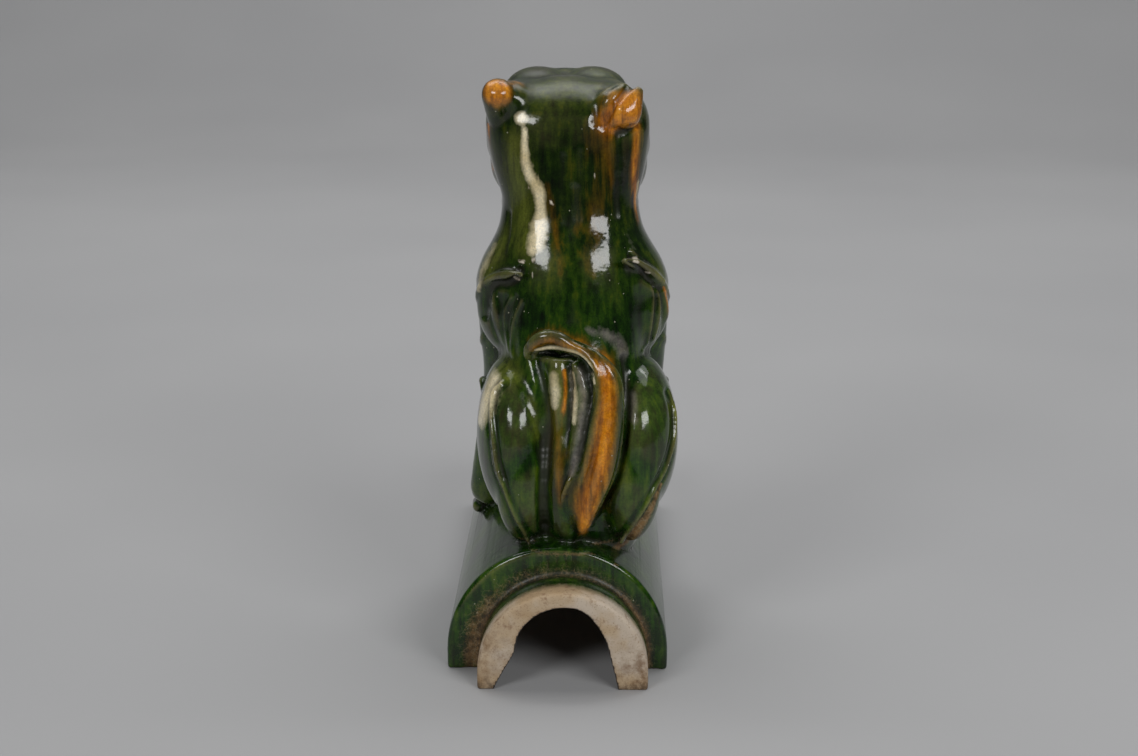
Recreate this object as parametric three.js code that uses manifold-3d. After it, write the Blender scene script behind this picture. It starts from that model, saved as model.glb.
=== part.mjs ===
// A glazed stoneware ridge tile with a seated guardian beast on its back. The tile is a barrel tile
// with a narrower spigot that the next tile laps over. Beast and tile were joined wet and fired as one
// piece, so the whole work is one solid.
// Millimetres. +Z is up, +Y runs along the tile the way the beast faces, and the origin is on the
// ground under the middle of the tile.

import * as THREE from "three";
import { mergeVertices } from "three/addons/utils/BufferGeometryUtils.js";
import Module from "manifold-3d";

const wasm = await Module();
wasm.setup();

// The barrel tile: a half round on short straight skirts.
const tileLength = 300; // spigot included
const tileRadius = 60;
const tileSkirt = 10; // height of the straight sides below the half round
const tileWall = 14;
const tileEdgeRound = 5; // rounding of the tile's two end edges

// The spigot slips under the next tile's plain end. It is thinner at its crown than at its legs,
// because it was pinched up by hand.
const channelRadius = tileRadius - tileWall;
const spigotClearance = 0.5; // between the spigot and the inside of a plain end
const spigotLength = 27;
const spigotRadius = channelRadius - spigotClearance;
const spigotSkirt = 9;
const spigotCrownWall = 8.5;
const spigotLegWall = 19;
const spigotEdgeRound = 2.5;
const spigotShift = 3.5; // it sits a little to the right of the tile's middle
const spigotLegBevel = 9; // how far the left leg is cut back inside, at the ground
const channelStart = 12; // from the tile's shoulder to where the wide channel begins

// The beast. Its forms below are given in hundredths of its height, in its own frame: x to its right
// as seen from behind, y forward from the tile's shoulder, z up from the bottom of its bed.
const beastHeight = 250;
const beastBed = 4; // how deep it is bedded in the crown of the tile
const beastShift = 9.2; // its haunches sit to the right of the tile's middle
const beastTurn = 1.5; // degrees that it faces to the left of the tile's axis
const beastLean = 5; // how far its head leans to the left

const glazeGreen = new THREE.Color(0.1, 0.19, 0.05);

const unit = beastHeight / 100;
const shoulderY = -tileLength / 2 + spigotLength;
const tileCrown = tileSkirt + tileRadius;
const turnPivot = 18; // hundredths forward of the shoulder, under the haunches
const turn = THREE.MathUtils.degToRad(beastTurn);

// A point of the beast, from hundredths of its height to millimetres on the tile.
function placed(x, y, z) {
  const forward = y - turnPivot;
  const across = x * Math.cos(turn) - forward * Math.sin(turn);
  const along = x * Math.sin(turn) + forward * Math.cos(turn);
  return new THREE.Vector3(
    across * unit + beastShift - beastLean * (Math.max(z, 0) / 100) ** 2,
    (along + turnPivot) * unit + shoulderY,
    z * unit + tileCrown - beastBed,
  );
}

// The height, in hundredths, at which the tile's back carries the beast at a place (x, y) of its own.
function tileBack(x, y) {
  const across = placed(x, y, 0).x;
  const rise = Math.sqrt(Math.max(tileRadius ** 2 - across ** 2, 0));
  return (tileSkirt + rise - tileCrown + beastBed) / unit;
}

// A closed geometry as a solid for joining and cutting.
function solid(geometry) {
  geometry.deleteAttribute("normal");
  geometry.deleteAttribute("uv");
  const merged = mergeVertices(geometry, 1e-4);
  return new wasm.Manifold(
    new wasm.Mesh({
      numProp: 3,
      vertProperties: new Float32Array(merged.attributes.position.array),
      triVerts: new Uint32Array(merged.index.array),
    }),
  );
}

function joined(solids) {
  return solids.reduce((whole, piece) => whole.add(piece));
}

// Closed rings of equal length, skinned one to the next and closed by a point at each end.
function skinned(start, rings, end) {
  const sides = rings[0].length;
  const points = [start, ...rings.flat(), end];
  const last = points.length - 1;
  const faces = [];
  for (let k = 0; k < sides; k++) {
    const next = (k + 1) % sides;
    faces.push(0, 1 + next, 1 + k);
    for (let r = 0; r + 1 < rings.length; r++) {
      const low = 1 + r * sides;
      const high = low + sides;
      faces.push(low + k, low + next, high + next);
      faces.push(low + k, high + next, high + k);
    }
    const top = 1 + (rings.length - 1) * sides;
    faces.push(top + k, top + next, last);
  }
  const geometry = new THREE.BufferGeometry().setFromPoints(points);
  geometry.setIndex(faces);
  const made = solid(geometry);
  if (made.volume() > 0) return made;
  geometry.setIndex(faces.reverse());
  return solid(geometry);
}

// A rounded mass of the beast: an ellipsoid at a centre, tipped forward by some degrees. Its facets
// are about as long as facetSize, in hundredths like the rest, so that small forms are drawn simply.
const facetSize = 8.4;

function mass(centre, radii, tip = 0) {
  const angle = THREE.MathUtils.degToRad(tip);
  const sides = Math.max(7, 2 * Math.round((Math.PI * (radii[0] + radii[1])) / 2 / facetSize));
  const rows = Math.max(5, Math.round((Math.PI * radii[2]) / facetSize));
  const at = (polar, around) => {
    const x = radii[0] * Math.sin(polar) * Math.cos(around);
    const y = radii[1] * Math.sin(polar) * Math.sin(around);
    const z = radii[2] * Math.cos(polar);
    const leanY = y * Math.cos(angle) + z * Math.sin(angle);
    const leanZ = z * Math.cos(angle) - y * Math.sin(angle);
    return placed(centre[0] + x, centre[1] + leanY, centre[2] + leanZ);
  };
  const rings = [];
  for (let r = 1; r < rows; r++) {
    const ring = [];
    for (let k = 0; k < sides; k++) {
      ring.push(at((Math.PI * r) / rows, (2 * Math.PI * k) / sides));
    }
    rings.push(ring);
  }
  return skinned(at(0, 0), rings, at(Math.PI, 0));
}

// A limb, lock or roll: a round section swept along a smooth line, with its own radius at each point.
// Its ends are domed, or pointed where they are slender. flat is the section's thickness over its
// width, which lies along the side vector.
const slender = 1;

function swept(points, radii, steps, sides = 6, flat = 1, side = null) {
  const curve = new THREE.CatmullRomCurve3(points.map((p) => new THREE.Vector3(...p)));
  const frames = curve.computeFrenetFrames(steps, false);
  const radiusAt = (t) => {
    const place = t * (radii.length - 1);
    const low = Math.min(Math.floor(place), radii.length - 2);
    const share = place - low;
    const ease = share * share * (3 - 2 * share);
    return radii[low] * (1 - ease) + radii[low + 1] * ease;
  };
  const ringAt = (centre, tangent, normal, radius) => {
    const across = side ? new THREE.Vector3(...side) : normal.clone();
    across.addScaledVector(tangent, -across.dot(tangent)).normalize();
    const other = new THREE.Vector3().crossVectors(tangent, across);
    const ring = [];
    for (let k = 0; k < sides; k++) {
      const around = (2 * Math.PI * (k + 0.5)) / sides;
      const p = centre.clone();
      p.addScaledVector(across, radius * Math.cos(around));
      p.addScaledVector(other, radius * flat * Math.sin(around));
      ring.push(placed(p.x, p.y, p.z));
    }
    return ring;
  };
  const dome = (centre, tangent, normal, radius, sign) => {
    const rise = THREE.MathUtils.degToRad(45);
    const p = centre.clone().addScaledVector(tangent, sign * radius * Math.sin(rise));
    return ringAt(p, tangent, normal, radius * Math.cos(rise));
  };
  const centres = [];
  for (let i = 0; i <= steps; i++) centres.push(curve.getPoint(i / steps));
  const { tangents, normals } = frames;
  const rings = centres.map((c, i) => ringAt(c, tangents[i], normals[i], radiusAt(i / steps)));
  const first = radii[0];
  const final = radii[radii.length - 1];
  if (first > slender) rings.unshift(dome(centres[0], tangents[0], normals[0], first, -1));
  if (final > slender) rings.push(dome(centres[steps], tangents[steps], normals[steps], final, 1));
  const foot = centres[0].clone().addScaledVector(tangents[0], -first);
  const tip = centres[steps].clone().addScaledVector(tangents[steps], final);
  return skinned(placed(...foot.toArray()), rings, placed(...tip.toArray()));
}

// The same call for the left (-1) and the right (1) of the beast.
function bothSides(make) {
  return [-1, 1].map((side) => joined([make(side)].flat()));
}

// The outline of a half round on straight skirts, drawn on below the ground, where it is cut off.
function archShape(radius, skirt, below) {
  const shape = new THREE.Shape();
  shape.moveTo(-radius, -below);
  shape.lineTo(radius, -below);
  shape.lineTo(radius, skirt);
  shape.absarc(0, skirt, radius, 0, Math.PI, false);
  return shape;
}

// A prism of a shape drawn in X and Z, from one place along Y to another, with rounded end edges.
function alongTile(shape, from, to, edge = 0, segments = 12) {
  const geometry = new THREE.ExtrudeGeometry(shape, {
    depth: to - from - 2 * edge,
    curveSegments: segments,
    bevelEnabled: edge > 0,
    bevelSize: edge,
    bevelThickness: edge,
    bevelOffset: -edge,
    bevelSegments: 2,
  });
  geometry.rotateX(Math.PI / 2);
  geometry.translate(0, to - edge, 0);
  return solid(geometry);
}

function tileOutside() {
  const below = 4 * tileEdgeRound;
  const barrel = alongTile(
    archShape(tileRadius, tileSkirt, below),
    shoulderY,
    tileLength / 2,
    tileEdgeRound,
  );
  const spigot = alongTile(
    archShape(spigotRadius, spigotSkirt, below),
    -tileLength / 2,
    shoulderY + channelStart,
    spigotEdgeRound,
  ).translate([spigotShift, 0, 0]);
  return barrel.add(spigot);
}

// The narrow way through the spigot: a pointed arch whose left leg is cut back towards the ground.
function spigotWay(below) {
  const half = spigotRadius - spigotLegWall;
  const top = spigotSkirt + spigotRadius - spigotCrownWall;
  const bevelTop = top * 0.48;
  const way = new THREE.Shape();
  way.moveTo(-half - spigotLegBevel - below, -below);
  way.lineTo(-half, bevelTop);
  way.quadraticCurveTo(-half * 0.92, top * 0.86, -half * 0.1, top);
  way.quadraticCurveTo(half * 0.62, top * 0.98, half * 0.98, bevelTop);
  way.lineTo(half + 3, -below);
  way.closePath();
  return way;
}

function tileChannel() {
  const below = 4 * tileEdgeRound;
  const past = 20;
  const wide = alongTile(
    archShape(channelRadius, tileSkirt, below),
    shoulderY + channelStart,
    tileLength / 2 + past,
  );
  const narrow = alongTile(
    spigotWay(below),
    -tileLength / 2 - past,
    shoulderY + channelStart + past,
    0,
    7,
  ).translate([spigotShift, 0, 0]);
  return wide.add(narrow);
}

// Everything under the ground, wider than the tile.
function ground() {
  const size = 4 * tileLength;
  return solid(new THREE.BoxGeometry(size, size, size).translate(0, 0, -size / 2));
}

// The trunk: one loft from the seat to the crown of the head. Each row gives the height, where its
// back and its front are, and half its width. A shallow groove runs down the spine.
const trunkRows = [
  [-5, 6, 38, 14],
  [3, 2.5, 42, 16],
  [12, 1.5, 44, 16.6],
  [22, 1.6, 43, 16.6],
  [32, 3.2, 41.5, 15.8],
  [41, 5.8, 42.5, 15.4],
  [50, 9, 45.5, 15.2],
  [58, 12, 47, 16],
  [65, 14.6, 45, 15.4],
  [72, 16.6, 42, 14.5],
  [79, 17.6, 43, 16.4],
  [86, 18.2, 44, 17.4],
  [91, 19, 43, 16.9],
  [95.6, 22.5, 40, 12.5],
];
const spineDepth = 0.7;
const spineWidth = 1.8;
const spineFrom = 48;
const spineTo = 88;

// A sine or cosine drawn out towards its ends, for a section a little squarer than an ellipse.
function squared(value) {
  return Math.sign(value) * Math.abs(value) ** 0.85;
}

function trunk() {
  const sides = 20;
  const steps = 15;
  const rows = new THREE.CatmullRomCurve3(
    trunkRows.map(([z, back, front]) => new THREE.Vector3(z, back, front)),
  );
  const widths = new THREE.CatmullRomCurve3(
    trunkRows.map(([z, , , half]) => new THREE.Vector3(z, half, 0)),
  );
  const rings = [];
  for (let i = 0; i <= steps; i++) {
    const row = rows.getPoint(i / steps);
    const half = widths.getPoint(i / steps).y;
    const [z, back, front] = row.toArray();
    const ring = [];
    for (let k = 0; k < sides; k++) {
      const around = (2 * Math.PI * (k + 0.5)) / sides;
      const x = half * squared(Math.cos(around));
      const y = ((front - back) / 2) * squared(Math.sin(around));
      const onSpine = z > spineFrom && z < spineTo && y < 0;
      const spine = onSpine ? spineDepth * Math.exp(-((x / spineWidth) ** 2)) : 0;
      ring.push(placed(x, (back + front) / 2 + y + spine, z));
    }
    rings.push(ring);
  }
  const [foot, crown] = [trunkRows[0], trunkRows[trunkRows.length - 1]];
  return skinned(
    placed(0, (foot[1] + foot[2]) / 2, foot[0]),
    rings,
    placed(0, (crown[1] + crown[2]) / 2, crown[0] + 1.5),
  );
}

// A haunch: the thigh, the pad of the buttock behind it, and the raised rim of the thigh, which
// curls over between them.
function haunch(side) {
  const rim = [
    [9.6, 4.4, 3],
    [13, 3.6, 9],
    [15.6, 3.8, 16],
    [16.8, 4.8, 24],
    [16.6, 8, 31],
    [15.6, 13.4, 36.4],
    [17, 20, 37.4],
    [19, 26.5, 33.6],
    [19.8, 29.6, 27],
    [20.4, 27, 21],
    [21, 22, 19.8],
    [21.2, 19.4, 23.4],
  ];
  return [
    mass([side * 10.6, 20, 22], [11.6, 17.6, 19], 10),
    mass([side * 9.6, 9.6, 19], [7.4, 9.4, 19.4], 4),
    swept(
      rim.map(([x, y, z]) => [side * x, y, z]),
      [0.8, 1.2, 1.4, 1.4, 1.4, 1.3, 0.8],
      13,
    ),
  ];
}

// A hind foot lies along the tile's flank, heel behind, with its toes in front of the knee.
function hindFoot(side) {
  const heel = [side * 12, 22];
  const ball = [side * 13.4, 38];
  const rest = ([x, y], above) => [x, y, tileBack(x, y) + above];
  const foot = swept(
    [rest(heel, 4.5), rest([side * 12.8, 30], 4), rest(ball, 3.2)],
    [3.6, 4.4, 4.2],
    4,
    8,
  );
  return [foot, ...toes(side, ball, 3)];
}

// Four toes, each ending in a blunt claw, side by side across the slope of the tile's back in front
// of the ball of a paw.
function toes(side, [x, y], above) {
  const number = 4;
  const slope = tileBack(x + 1, y) - tileBack(x, y);
  const gap = 2.7 / Math.hypot(1, slope);
  const made = [];
  for (let i = 0; i < number; i++) {
    const fromMiddle = i - (number - 1) / 2;
    const across = x + gap * fromMiddle;
    const reach = y + 5 - 0.6 * Math.abs(fromMiddle);
    const points = [
      [across, y - 1, tileBack(across, y) + above],
      [across, y + 2.6, tileBack(across, y + 2.6) + above * 0.9],
      [across, reach, tileBack(across, reach) + 1.5],
      [across, reach + 2.2, tileBack(across, reach + 2.2) + 0.4],
    ];
    made.push(swept(points, [1.6, 1.8, 1.3, 0.4], 3, 4));
  }
  return made;
}

// A foreleg stands straight from the shoulder to a paw on the tile's flank, with tufts at its back.
const pawShift = -2.4; // both front paws are set a little to the left

function foreleg(side) {
  const paw = [side * 17.5 + pawShift, 51];
  const ground = tileBack(...paw);
  const leg = swept(
    [
      [side * 13.4, 30, 56],
      [side * 15, 34, 46],
      [side * 15.4, 39.5, 31],
      [side * 16.6 + pawShift / 2, 45, 16],
      [paw[0], 48.5, ground + 5],
    ],
    [6.6, 6.2, 5.2, 4.8, 5],
    6,
    8,
  );
  const tufts = [0, 1].map((row) =>
    swept(
      [
        [side * 16.4, 38 + 1.6 * row, 27 - 6.5 * row],
        [side * 19, 36 + 1.6 * row, 22 - 6.5 * row],
        [side * 19.6, 33.6 + 1.6 * row, 17.5 - 6 * row],
      ],
      [2.1, 1.7, 0.5],
      2,
      5,
    ),
  );
  return [
    leg,
    mass([paw[0], 51, ground + 3.4], [5, 4.8, 3.8]),
    ...toes(side, paw, 3),
    ...tufts,
  ];
}

// A shoulder: a full muscle under the neck, whose lower edge is a rolled lip that hooks round the
// top of the foreleg, and three flames that stream back from it.
function shoulder(side) {
  const rise = side > 0 ? 3 : 0; // the right lip starts higher up the neck
  const lip = swept(
    [
      [side * 11.4, 13.6, 57.8 + rise],
      [side * 14, 16.6, 57.8 + rise * 0.6],
      [side * 16.6, 19.8, 56.2 + rise * 0.3],
      [side * 18.8, 23.2, 53.6],
      [side * 19.9, 27, 49.8],
      [side * 19, 30, 46.4],
    ],
    [1.1, 1.7, 1.9, 1.9, 1.6, 0.9],
    6,
  );
  const flames = [0, 1].map((row) =>
    swept(
      [
        [side * 18.6, 36 - 2.5 * row, 42 + 6.5 * row],
        [side * 19.9, 33 - 2 * row, 41 + 7.5 * row],
        [side * 19.6, 28 - 1.5 * row, 43 + 8 * row],
        [side * (18 - 1.2 * row), 23.4 - row, 48 + 7 * row],
      ],
      [1.2, 1.8, 1.5, 0.4],
      4,
      5,
    ),
  );
  return [mass([side * 12.2, 28, 49], [9.6, 12, 12.2], 14), lip, ...flames];
}

// The tail rises from the left of the rump, arches over to the right and hangs down the back in a
// broad brush that ends in a point. Each row is a place on its middle line and half its width there.
// Its outside is ribbed by parallel locks of hair.
const tailRows = [
  [-9.2, 7.4, 40.6, 1.4],
  [-9.2, 5.6, 44.2, 1.9],
  [-6.2, 4.9, 46.2, 2.2],
  [-2.6, 4.6, 45.7, 2],
  [1.6, 4.1, 44, 2.1],
  [5, 3.3, 40.6, 2.6],
  [6.8, 2.3, 34.4, 3],
  [5.7, 1.2, 26, 3.6],
  [4.1, 0.8, 18.6, 4.1],
  [1.9, 1.2, 11, 3.7],
  [1.4, 2.4, 3.4, 0.9],
];
const tailLocks = 4;
const tailThickness = 1.9; // from the middle line to the crest of a lock
const tailFurrow = 0.7; // depth between two locks

function tail() {
  const steps = 18;
  const middle = new THREE.CatmullRomCurve3(tailRows.map(([x, y, z]) => new THREE.Vector3(x, y, z)));
  const halves = new THREE.CatmullRomCurve3(tailRows.map((row, i) => new THREE.Vector3(row[3], i, 0)));
  const backwards = new THREE.Vector3(0, -1, 0);
  const rings = [];
  for (let i = 0; i <= steps; i++) {
    const centre = middle.getPoint(i / steps);
    const along = middle.getTangent(i / steps);
    const across = new THREE.Vector3().crossVectors(along, backwards).normalize();
    const outward = new THREE.Vector3().crossVectors(across, along).normalize();
    const half = halves.getPoint(i / steps).x;
    const thickness = Math.min(tailThickness, half);
    const at = (share, height) => {
      const p = centre.clone().addScaledVector(across, share * half);
      p.addScaledVector(outward, height * thickness);
      return placed(p.x, p.y, p.z);
    };
    const ring = [];
    for (let k = 0; k <= 2 * tailLocks; k++) {
      const share = k / tailLocks - 1;
      const furrow = k % 2 === 0 ? tailFurrow / tailThickness : 0;
      ring.push(at(share, Math.sqrt(1 - 0.75 * share ** 2) - furrow));
    }
    ring.push(at(0.7, -1), at(-0.7, -1));
    rings.push(ring);
  }
  const [root, tip] = [tailRows[0], tailRows[tailRows.length - 1]];
  return skinned(placed(root[0], root[1] + 1, root[2] - 1), rings, placed(tip[0] - 0.1, tip[1] + 0.4, tip[2] - 1.2));
}

// The rump between the haunches, which the tail hangs over.
function rump() {
  return mass([-3.2, 7, 17], [6, 7, 23.5], 3);
}

// The chest: a row of broad plates, one over another, down the throat and breast.
function chest() {
  const plates = 6;
  const made = [];
  for (let i = 0; i < plates; i++) {
    const share = i / (plates - 1);
    const z = 22 + 42 * share;
    const front = 43.6 + 4.4 * Math.sin(Math.PI * (0.12 + 0.72 * share));
    made.push(mass([0, front - 3.2, z], [10 - 1.8 * share, 3.6, 5.6], -18));
  }
  return made;
}

// The head: skull, cheeks, brows over bulging eyes, a blunt upturned nose, open jaws with tongue and
// teeth, a beard, and locks that sweep back from the cheeks. It faces up and ahead.
function head() {
  return [
    mass([0, 33, 84.6], [17.8, 14, 12.4]),
    mass([0, 43.6, 93.4], [11, 6.6, 5.6]),
    mass([0, 46, 83], [10.6, 11, 8.6], -12),
    mass([0, 50.4, 83.4], [9.4, 10.8, 6.4], -12),
    mass([0, 47.4, 73], [8.4, 11.6, 4.2], -8),
    mass([0, 40, 73], [11.5, 9, 7]),
  ];
}

function face(side) {
  const brow = [
    [side * 2.6, 51, 91.4],
    [side * 5.2, 48.6, 94.8],
    [side * 9, 46, 95],
    [side * 12.6, 41.6, 92.6],
    [side * 14.6, 36, 91],
  ];
  const lip = [
    [side * 10.6, 43.4, 77.2],
    [side * 9.8, 50, 79.2],
    [side * 7.4, 57.6, 80.6],
    [side * 2.8, 61.2, 82],
  ];
  const fang = [
    [side * 5.6, 57.2, 80.4],
    [side * 5.5, 57.6, 78.2],
    [side * 5.2, 57.4, 76],
  ];
  const cheekLocks = [0, 1].map((row) =>
    swept(
      [
        [side * (11 - row), 44 - row, 82.5 - 7 * row],
        [side * (14.8 - 1.4 * row), 41 - 2 * row, 83 - 8 * row],
        [side * (15.4 - 1.6 * row), 36 - 2 * row, 80.4 - 8.4 * row],
        [side * (15.2 - 1.4 * row), 31 - 2 * row, 82.4 - 8.4 * row],
      ],
      [1.8, 2.6, 2.1, 0.5],
      4,
      5,
    ),
  );
  return [
    mass([side * 5.2, 42.4, 95.2], [6.4, 5.6, 4.5]),
    mass([side * 7.2, 49, 90.8], [3.7, 3.4, 3.6]),
    mass([side * 3.2, 58.8, 87.4], [2.7, 2.8, 2.5]),
    mass([side * 9.4, 36.6, 79.6], [8.2, 8.6, 9.4]),
    swept(brow, [1.3, 2.2, 2.8, 2.3, 0.8], 5),
    swept(lip, [1.2, 1.5, 1.5, 1.2], 4),
    swept(fang, [1.15, 0.95, 0.3], 2, 5),
    ...cheekLocks,
  ];
}

// The nose, the tongue and the beard, on the beast's middle.
function muzzle() {
  const nose = [
    [0, 45.6, 92.4],
    [0, 52, 89.8],
    [0, 58.4, 88.4],
  ];
  const tongue = [
    [0, 43, 75.6],
    [0, 51, 76.2],
    [0, 57, 76.6],
    [0, 59.4, 75.4],
  ];
  const beard = [-1, 0, 1].map((place) =>
    swept(
      [
        [place * 3.6, 50, 70.6],
        [place * 4.4, 51.6, 66.4],
        [place * 4, 50, 61.6 + Math.abs(place)],
      ],
      [2.3, 2.1, 0.7],
      4,
    ),
  );
  return [
    swept(nose, [3.6, 3, 3.2], 4, 8),
    swept(tongue, [3.4, 3.4, 2.8, 1.8], 5, 8, 0.42, [1, 0, 0]),
    ...beard,
  ];
}

// What is cut out of the head: the mouth between the jaws.
function mouth() {
  return mass([0, 54, 77.6], [7, 13, 3.6], -6);
}

// Each ear is a short leaf that points out and back from the corner of the skull.
function ears() {
  const left = [
    [-10.4, 25, 90],
    [-14.2, 22, 93.4],
    [-15.1, 20.6, 96.2],
  ];
  const right = [
    [7.6, 20.6, 87.6],
    [11.8, 19.8, 91.8],
    [14.6, 19.2, 95],
  ];
  return [swept(left, [3, 3.1, 2.8], 4, 8), swept(right, [1.4, 3.1, 2.2], 5, 8)];
}

const jaws = joined(head()).subtract(mouth());
const beast = joined([
  trunk(),
  rump(),
  ...bothSides(haunch),
  ...bothSides(hindFoot),
  ...bothSides(foreleg),
  ...bothSides(shoulder),
  tail(),
  ...chest(),
  jaws,
  ...bothSides(face),
  ...muzzle(),
  ...ears(),
]);

const ridgeTile = tileOutside().add(beast).subtract(tileChannel()).subtract(ground());

function meshOf(name, made, material) {
  const { vertProperties, triVerts } = made.getMesh();
  const geometry = new THREE.BufferGeometry();
  geometry.setAttribute("position", new THREE.BufferAttribute(vertProperties, 3));
  geometry.setIndex(new THREE.BufferAttribute(triVerts, 1));
  geometry.computeVertexNormals();
  const mesh = new THREE.Mesh(geometry, material);
  mesh.name = name;
  return mesh;
}

const glaze = new THREE.MeshStandardMaterial({ color: glazeGreen, roughness: 0.15, metalness: 0 });
const model = new THREE.Group();
model.add(meshOf("ridge_tile_beast", ridgeTile, glaze));

export default model;
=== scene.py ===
# %% [markdown]
# # A ridge tile with a seated beast
# The real thing is one lump of fired clay: a barrel tile with a narrow spigot, and a guardian beast
# that was modelled by hand on its back, dipped in green lead glaze and splashed with amber and
# cream. It is looked at from behind, so the back, the haunches and the tail get the most care.

# %% Load the frame
import math
import bpy
import numpy as np
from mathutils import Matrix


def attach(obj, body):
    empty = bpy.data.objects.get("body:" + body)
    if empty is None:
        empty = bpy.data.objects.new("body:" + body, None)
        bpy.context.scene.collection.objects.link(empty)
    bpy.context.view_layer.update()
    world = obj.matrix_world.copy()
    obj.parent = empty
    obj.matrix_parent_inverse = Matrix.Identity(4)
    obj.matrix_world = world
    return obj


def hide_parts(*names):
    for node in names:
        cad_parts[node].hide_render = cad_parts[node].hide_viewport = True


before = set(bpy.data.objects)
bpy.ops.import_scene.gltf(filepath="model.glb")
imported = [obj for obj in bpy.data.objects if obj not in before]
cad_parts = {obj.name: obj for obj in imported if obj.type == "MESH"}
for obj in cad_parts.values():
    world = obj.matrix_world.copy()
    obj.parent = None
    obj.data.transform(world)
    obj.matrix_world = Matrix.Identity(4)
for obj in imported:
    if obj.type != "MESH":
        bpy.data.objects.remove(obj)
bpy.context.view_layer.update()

# %% [markdown]
# ## Camera
# The photograph was taken from straight behind and a little above, with a longish lens. The camera
# comes first.

# %% Camera
bpy.ops.object.select_all(action="DESELECT")
bpy.ops.object.camera_add(
    location=(0.02263, -1.04725, 0.4156),
    rotation=(math.radians(74.8), 0, math.radians(1.0)),
)
camera = bpy.context.object
camera.name = "camera"
camera.data.sensor_width = 36
camera.data.lens = 58.05
camera.data.clip_start = 0.05
bpy.context.scene.camera = camera
print("camera at", [round(value, 3) for value in camera.location])

# %% [markdown]
# ## The beast's own measure
# A modeller thinks of a figure in its own proportions. All forms of the beast are given in
# hundredths of its height, x to its right, y forward from the tile's shoulder and z up from its
# bed. One function sets them on the tile, turned and leaning a little as the real one is.

# %% Setting the beast on the tile
TILE_LENGTH = 0.300
TILE_RADIUS = 0.060
TILE_SKIRT = 0.010
SPIGOT_LENGTH = 0.027
SHOULDER_Y = -TILE_LENGTH / 2 + SPIGOT_LENGTH
CHANNEL_RADIUS = 0.046
HUNDREDTH = 0.0025  # a hundredth of the beast's height
BED = 0.066  # the beast's own zero, above the ground
SHIFT = 0.0092  # how far right of the tile's middle it sits
LEAN = 0.005  # how far its head leans to the left
PIVOT = 18  # the depth about which it is turned
TURN = math.radians(1.5)


def on_tile(own):
    """From hundredths of the beast to metres on the tile."""
    x, y, z = np.asarray(own, float).T
    forward = y - PIVOT
    across = x * math.cos(TURN) - forward * math.sin(TURN)
    along = x * math.sin(TURN) + forward * math.cos(TURN)
    return np.column_stack([
        across * HUNDREDTH + SHIFT - LEAN * (np.maximum(z, 0) / 100) ** 2,
        (along + PIVOT) * HUNDREDTH + SHOULDER_Y,
        z * HUNDREDTH + BED,
    ])


def own_measure(metres):
    """The way back, from metres on the tile to hundredths of the beast."""
    X, Y, Z = np.asarray(metres, float).T
    z = (Z - BED) / HUNDREDTH
    across = (X - SHIFT + LEAN * (np.maximum(z, 0) / 100) ** 2) / HUNDREDTH
    along = (Y - SHOULDER_Y) / HUNDREDTH - PIVOT
    x = across * math.cos(TURN) + along * math.sin(TURN)
    y = along * math.cos(TURN) - across * math.sin(TURN) + PIVOT
    return np.column_stack([x, y, z])


def tile_back(x, y):
    """The height at which the tile's back carries the beast at a place of its own."""
    across = on_tile([[x, y, 0]])[0][0]
    rise = math.sqrt(max(TILE_RADIUS ** 2 - across ** 2, 0))
    return (TILE_SKIRT + rise - BED) / HUNDREDTH


print("the crown of the head is at", on_tile([[0, 40, 99.6]])[0].round(3))

# %% [markdown]
# ## Round forms
# Clay figures are built from balls and rolls. Each is a sphere whose rings are moved to where the
# form needs them: the poles close it, and its faces keep pointing outwards.

# %% Balls and rolls
def only(piece):
    """Selects one piece alone and makes it the active one."""
    bpy.ops.object.select_all(action="DESELECT")
    piece.select_set(True)
    bpy.context.view_layer.objects.active = piece


def edit_all():
    """Goes into edit mode with everything on the active piece selected."""
    bpy.ops.object.mode_set(mode="EDIT")
    bpy.ops.mesh.select_all(action="SELECT")


def leave_edit():
    bpy.ops.object.mode_set(mode="OBJECT")


def points_of(piece):
    flat = np.empty(len(piece.data.vertices) * 3)
    piece.data.vertices.foreach_get("co", flat)
    return flat.reshape(-1, 3)


def set_points(piece, points):
    piece.data.vertices.foreach_set("co", np.asarray(points).ravel())
    piece.data.update()


def round_form(name, at, segments, rings):
    """A sphere whose points move to at(share, around): share runs from the foot to the top."""
    bpy.ops.object.select_all(action="DESELECT")
    bpy.ops.mesh.primitive_uv_sphere_add(segments=segments, ring_count=rings, radius=1)
    piece = bpy.context.object
    piece.name = name
    start = points_of(piece)
    share = 1 - np.arccos(np.clip(start[:, 2], -1, 1)) / math.pi
    around = np.arctan2(start[:, 1], start[:, 0])
    set_points(piece, on_tile(at(share, around)))
    return piece


def ball(name, centre, radii, tip=0, segments=28):
    """A rounded mass, tipped forward by some degrees."""
    angle = math.radians(tip)

    def at(share, around):
        polar = math.pi * (1 - share)
        x = radii[0] * np.sin(polar) * np.cos(around)
        y = radii[1] * np.sin(polar) * np.sin(around)
        z = radii[2] * np.cos(polar)
        return np.column_stack([
            centre[0] + x,
            centre[1] + y * math.cos(angle) + z * math.sin(angle),
            centre[2] + z * math.cos(angle) - y * math.sin(angle),
        ])

    return round_form(name, at, segments, rings=18)


def read_off(place, table):
    """The rows of a table at places that may lie between them."""
    return np.column_stack([np.interp(place, np.arange(len(table)), column) for column in table.T])


STEPS = 24  # between two points of a line, before it is spaced evenly
SAMPLES = 90  # along a roll


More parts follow.
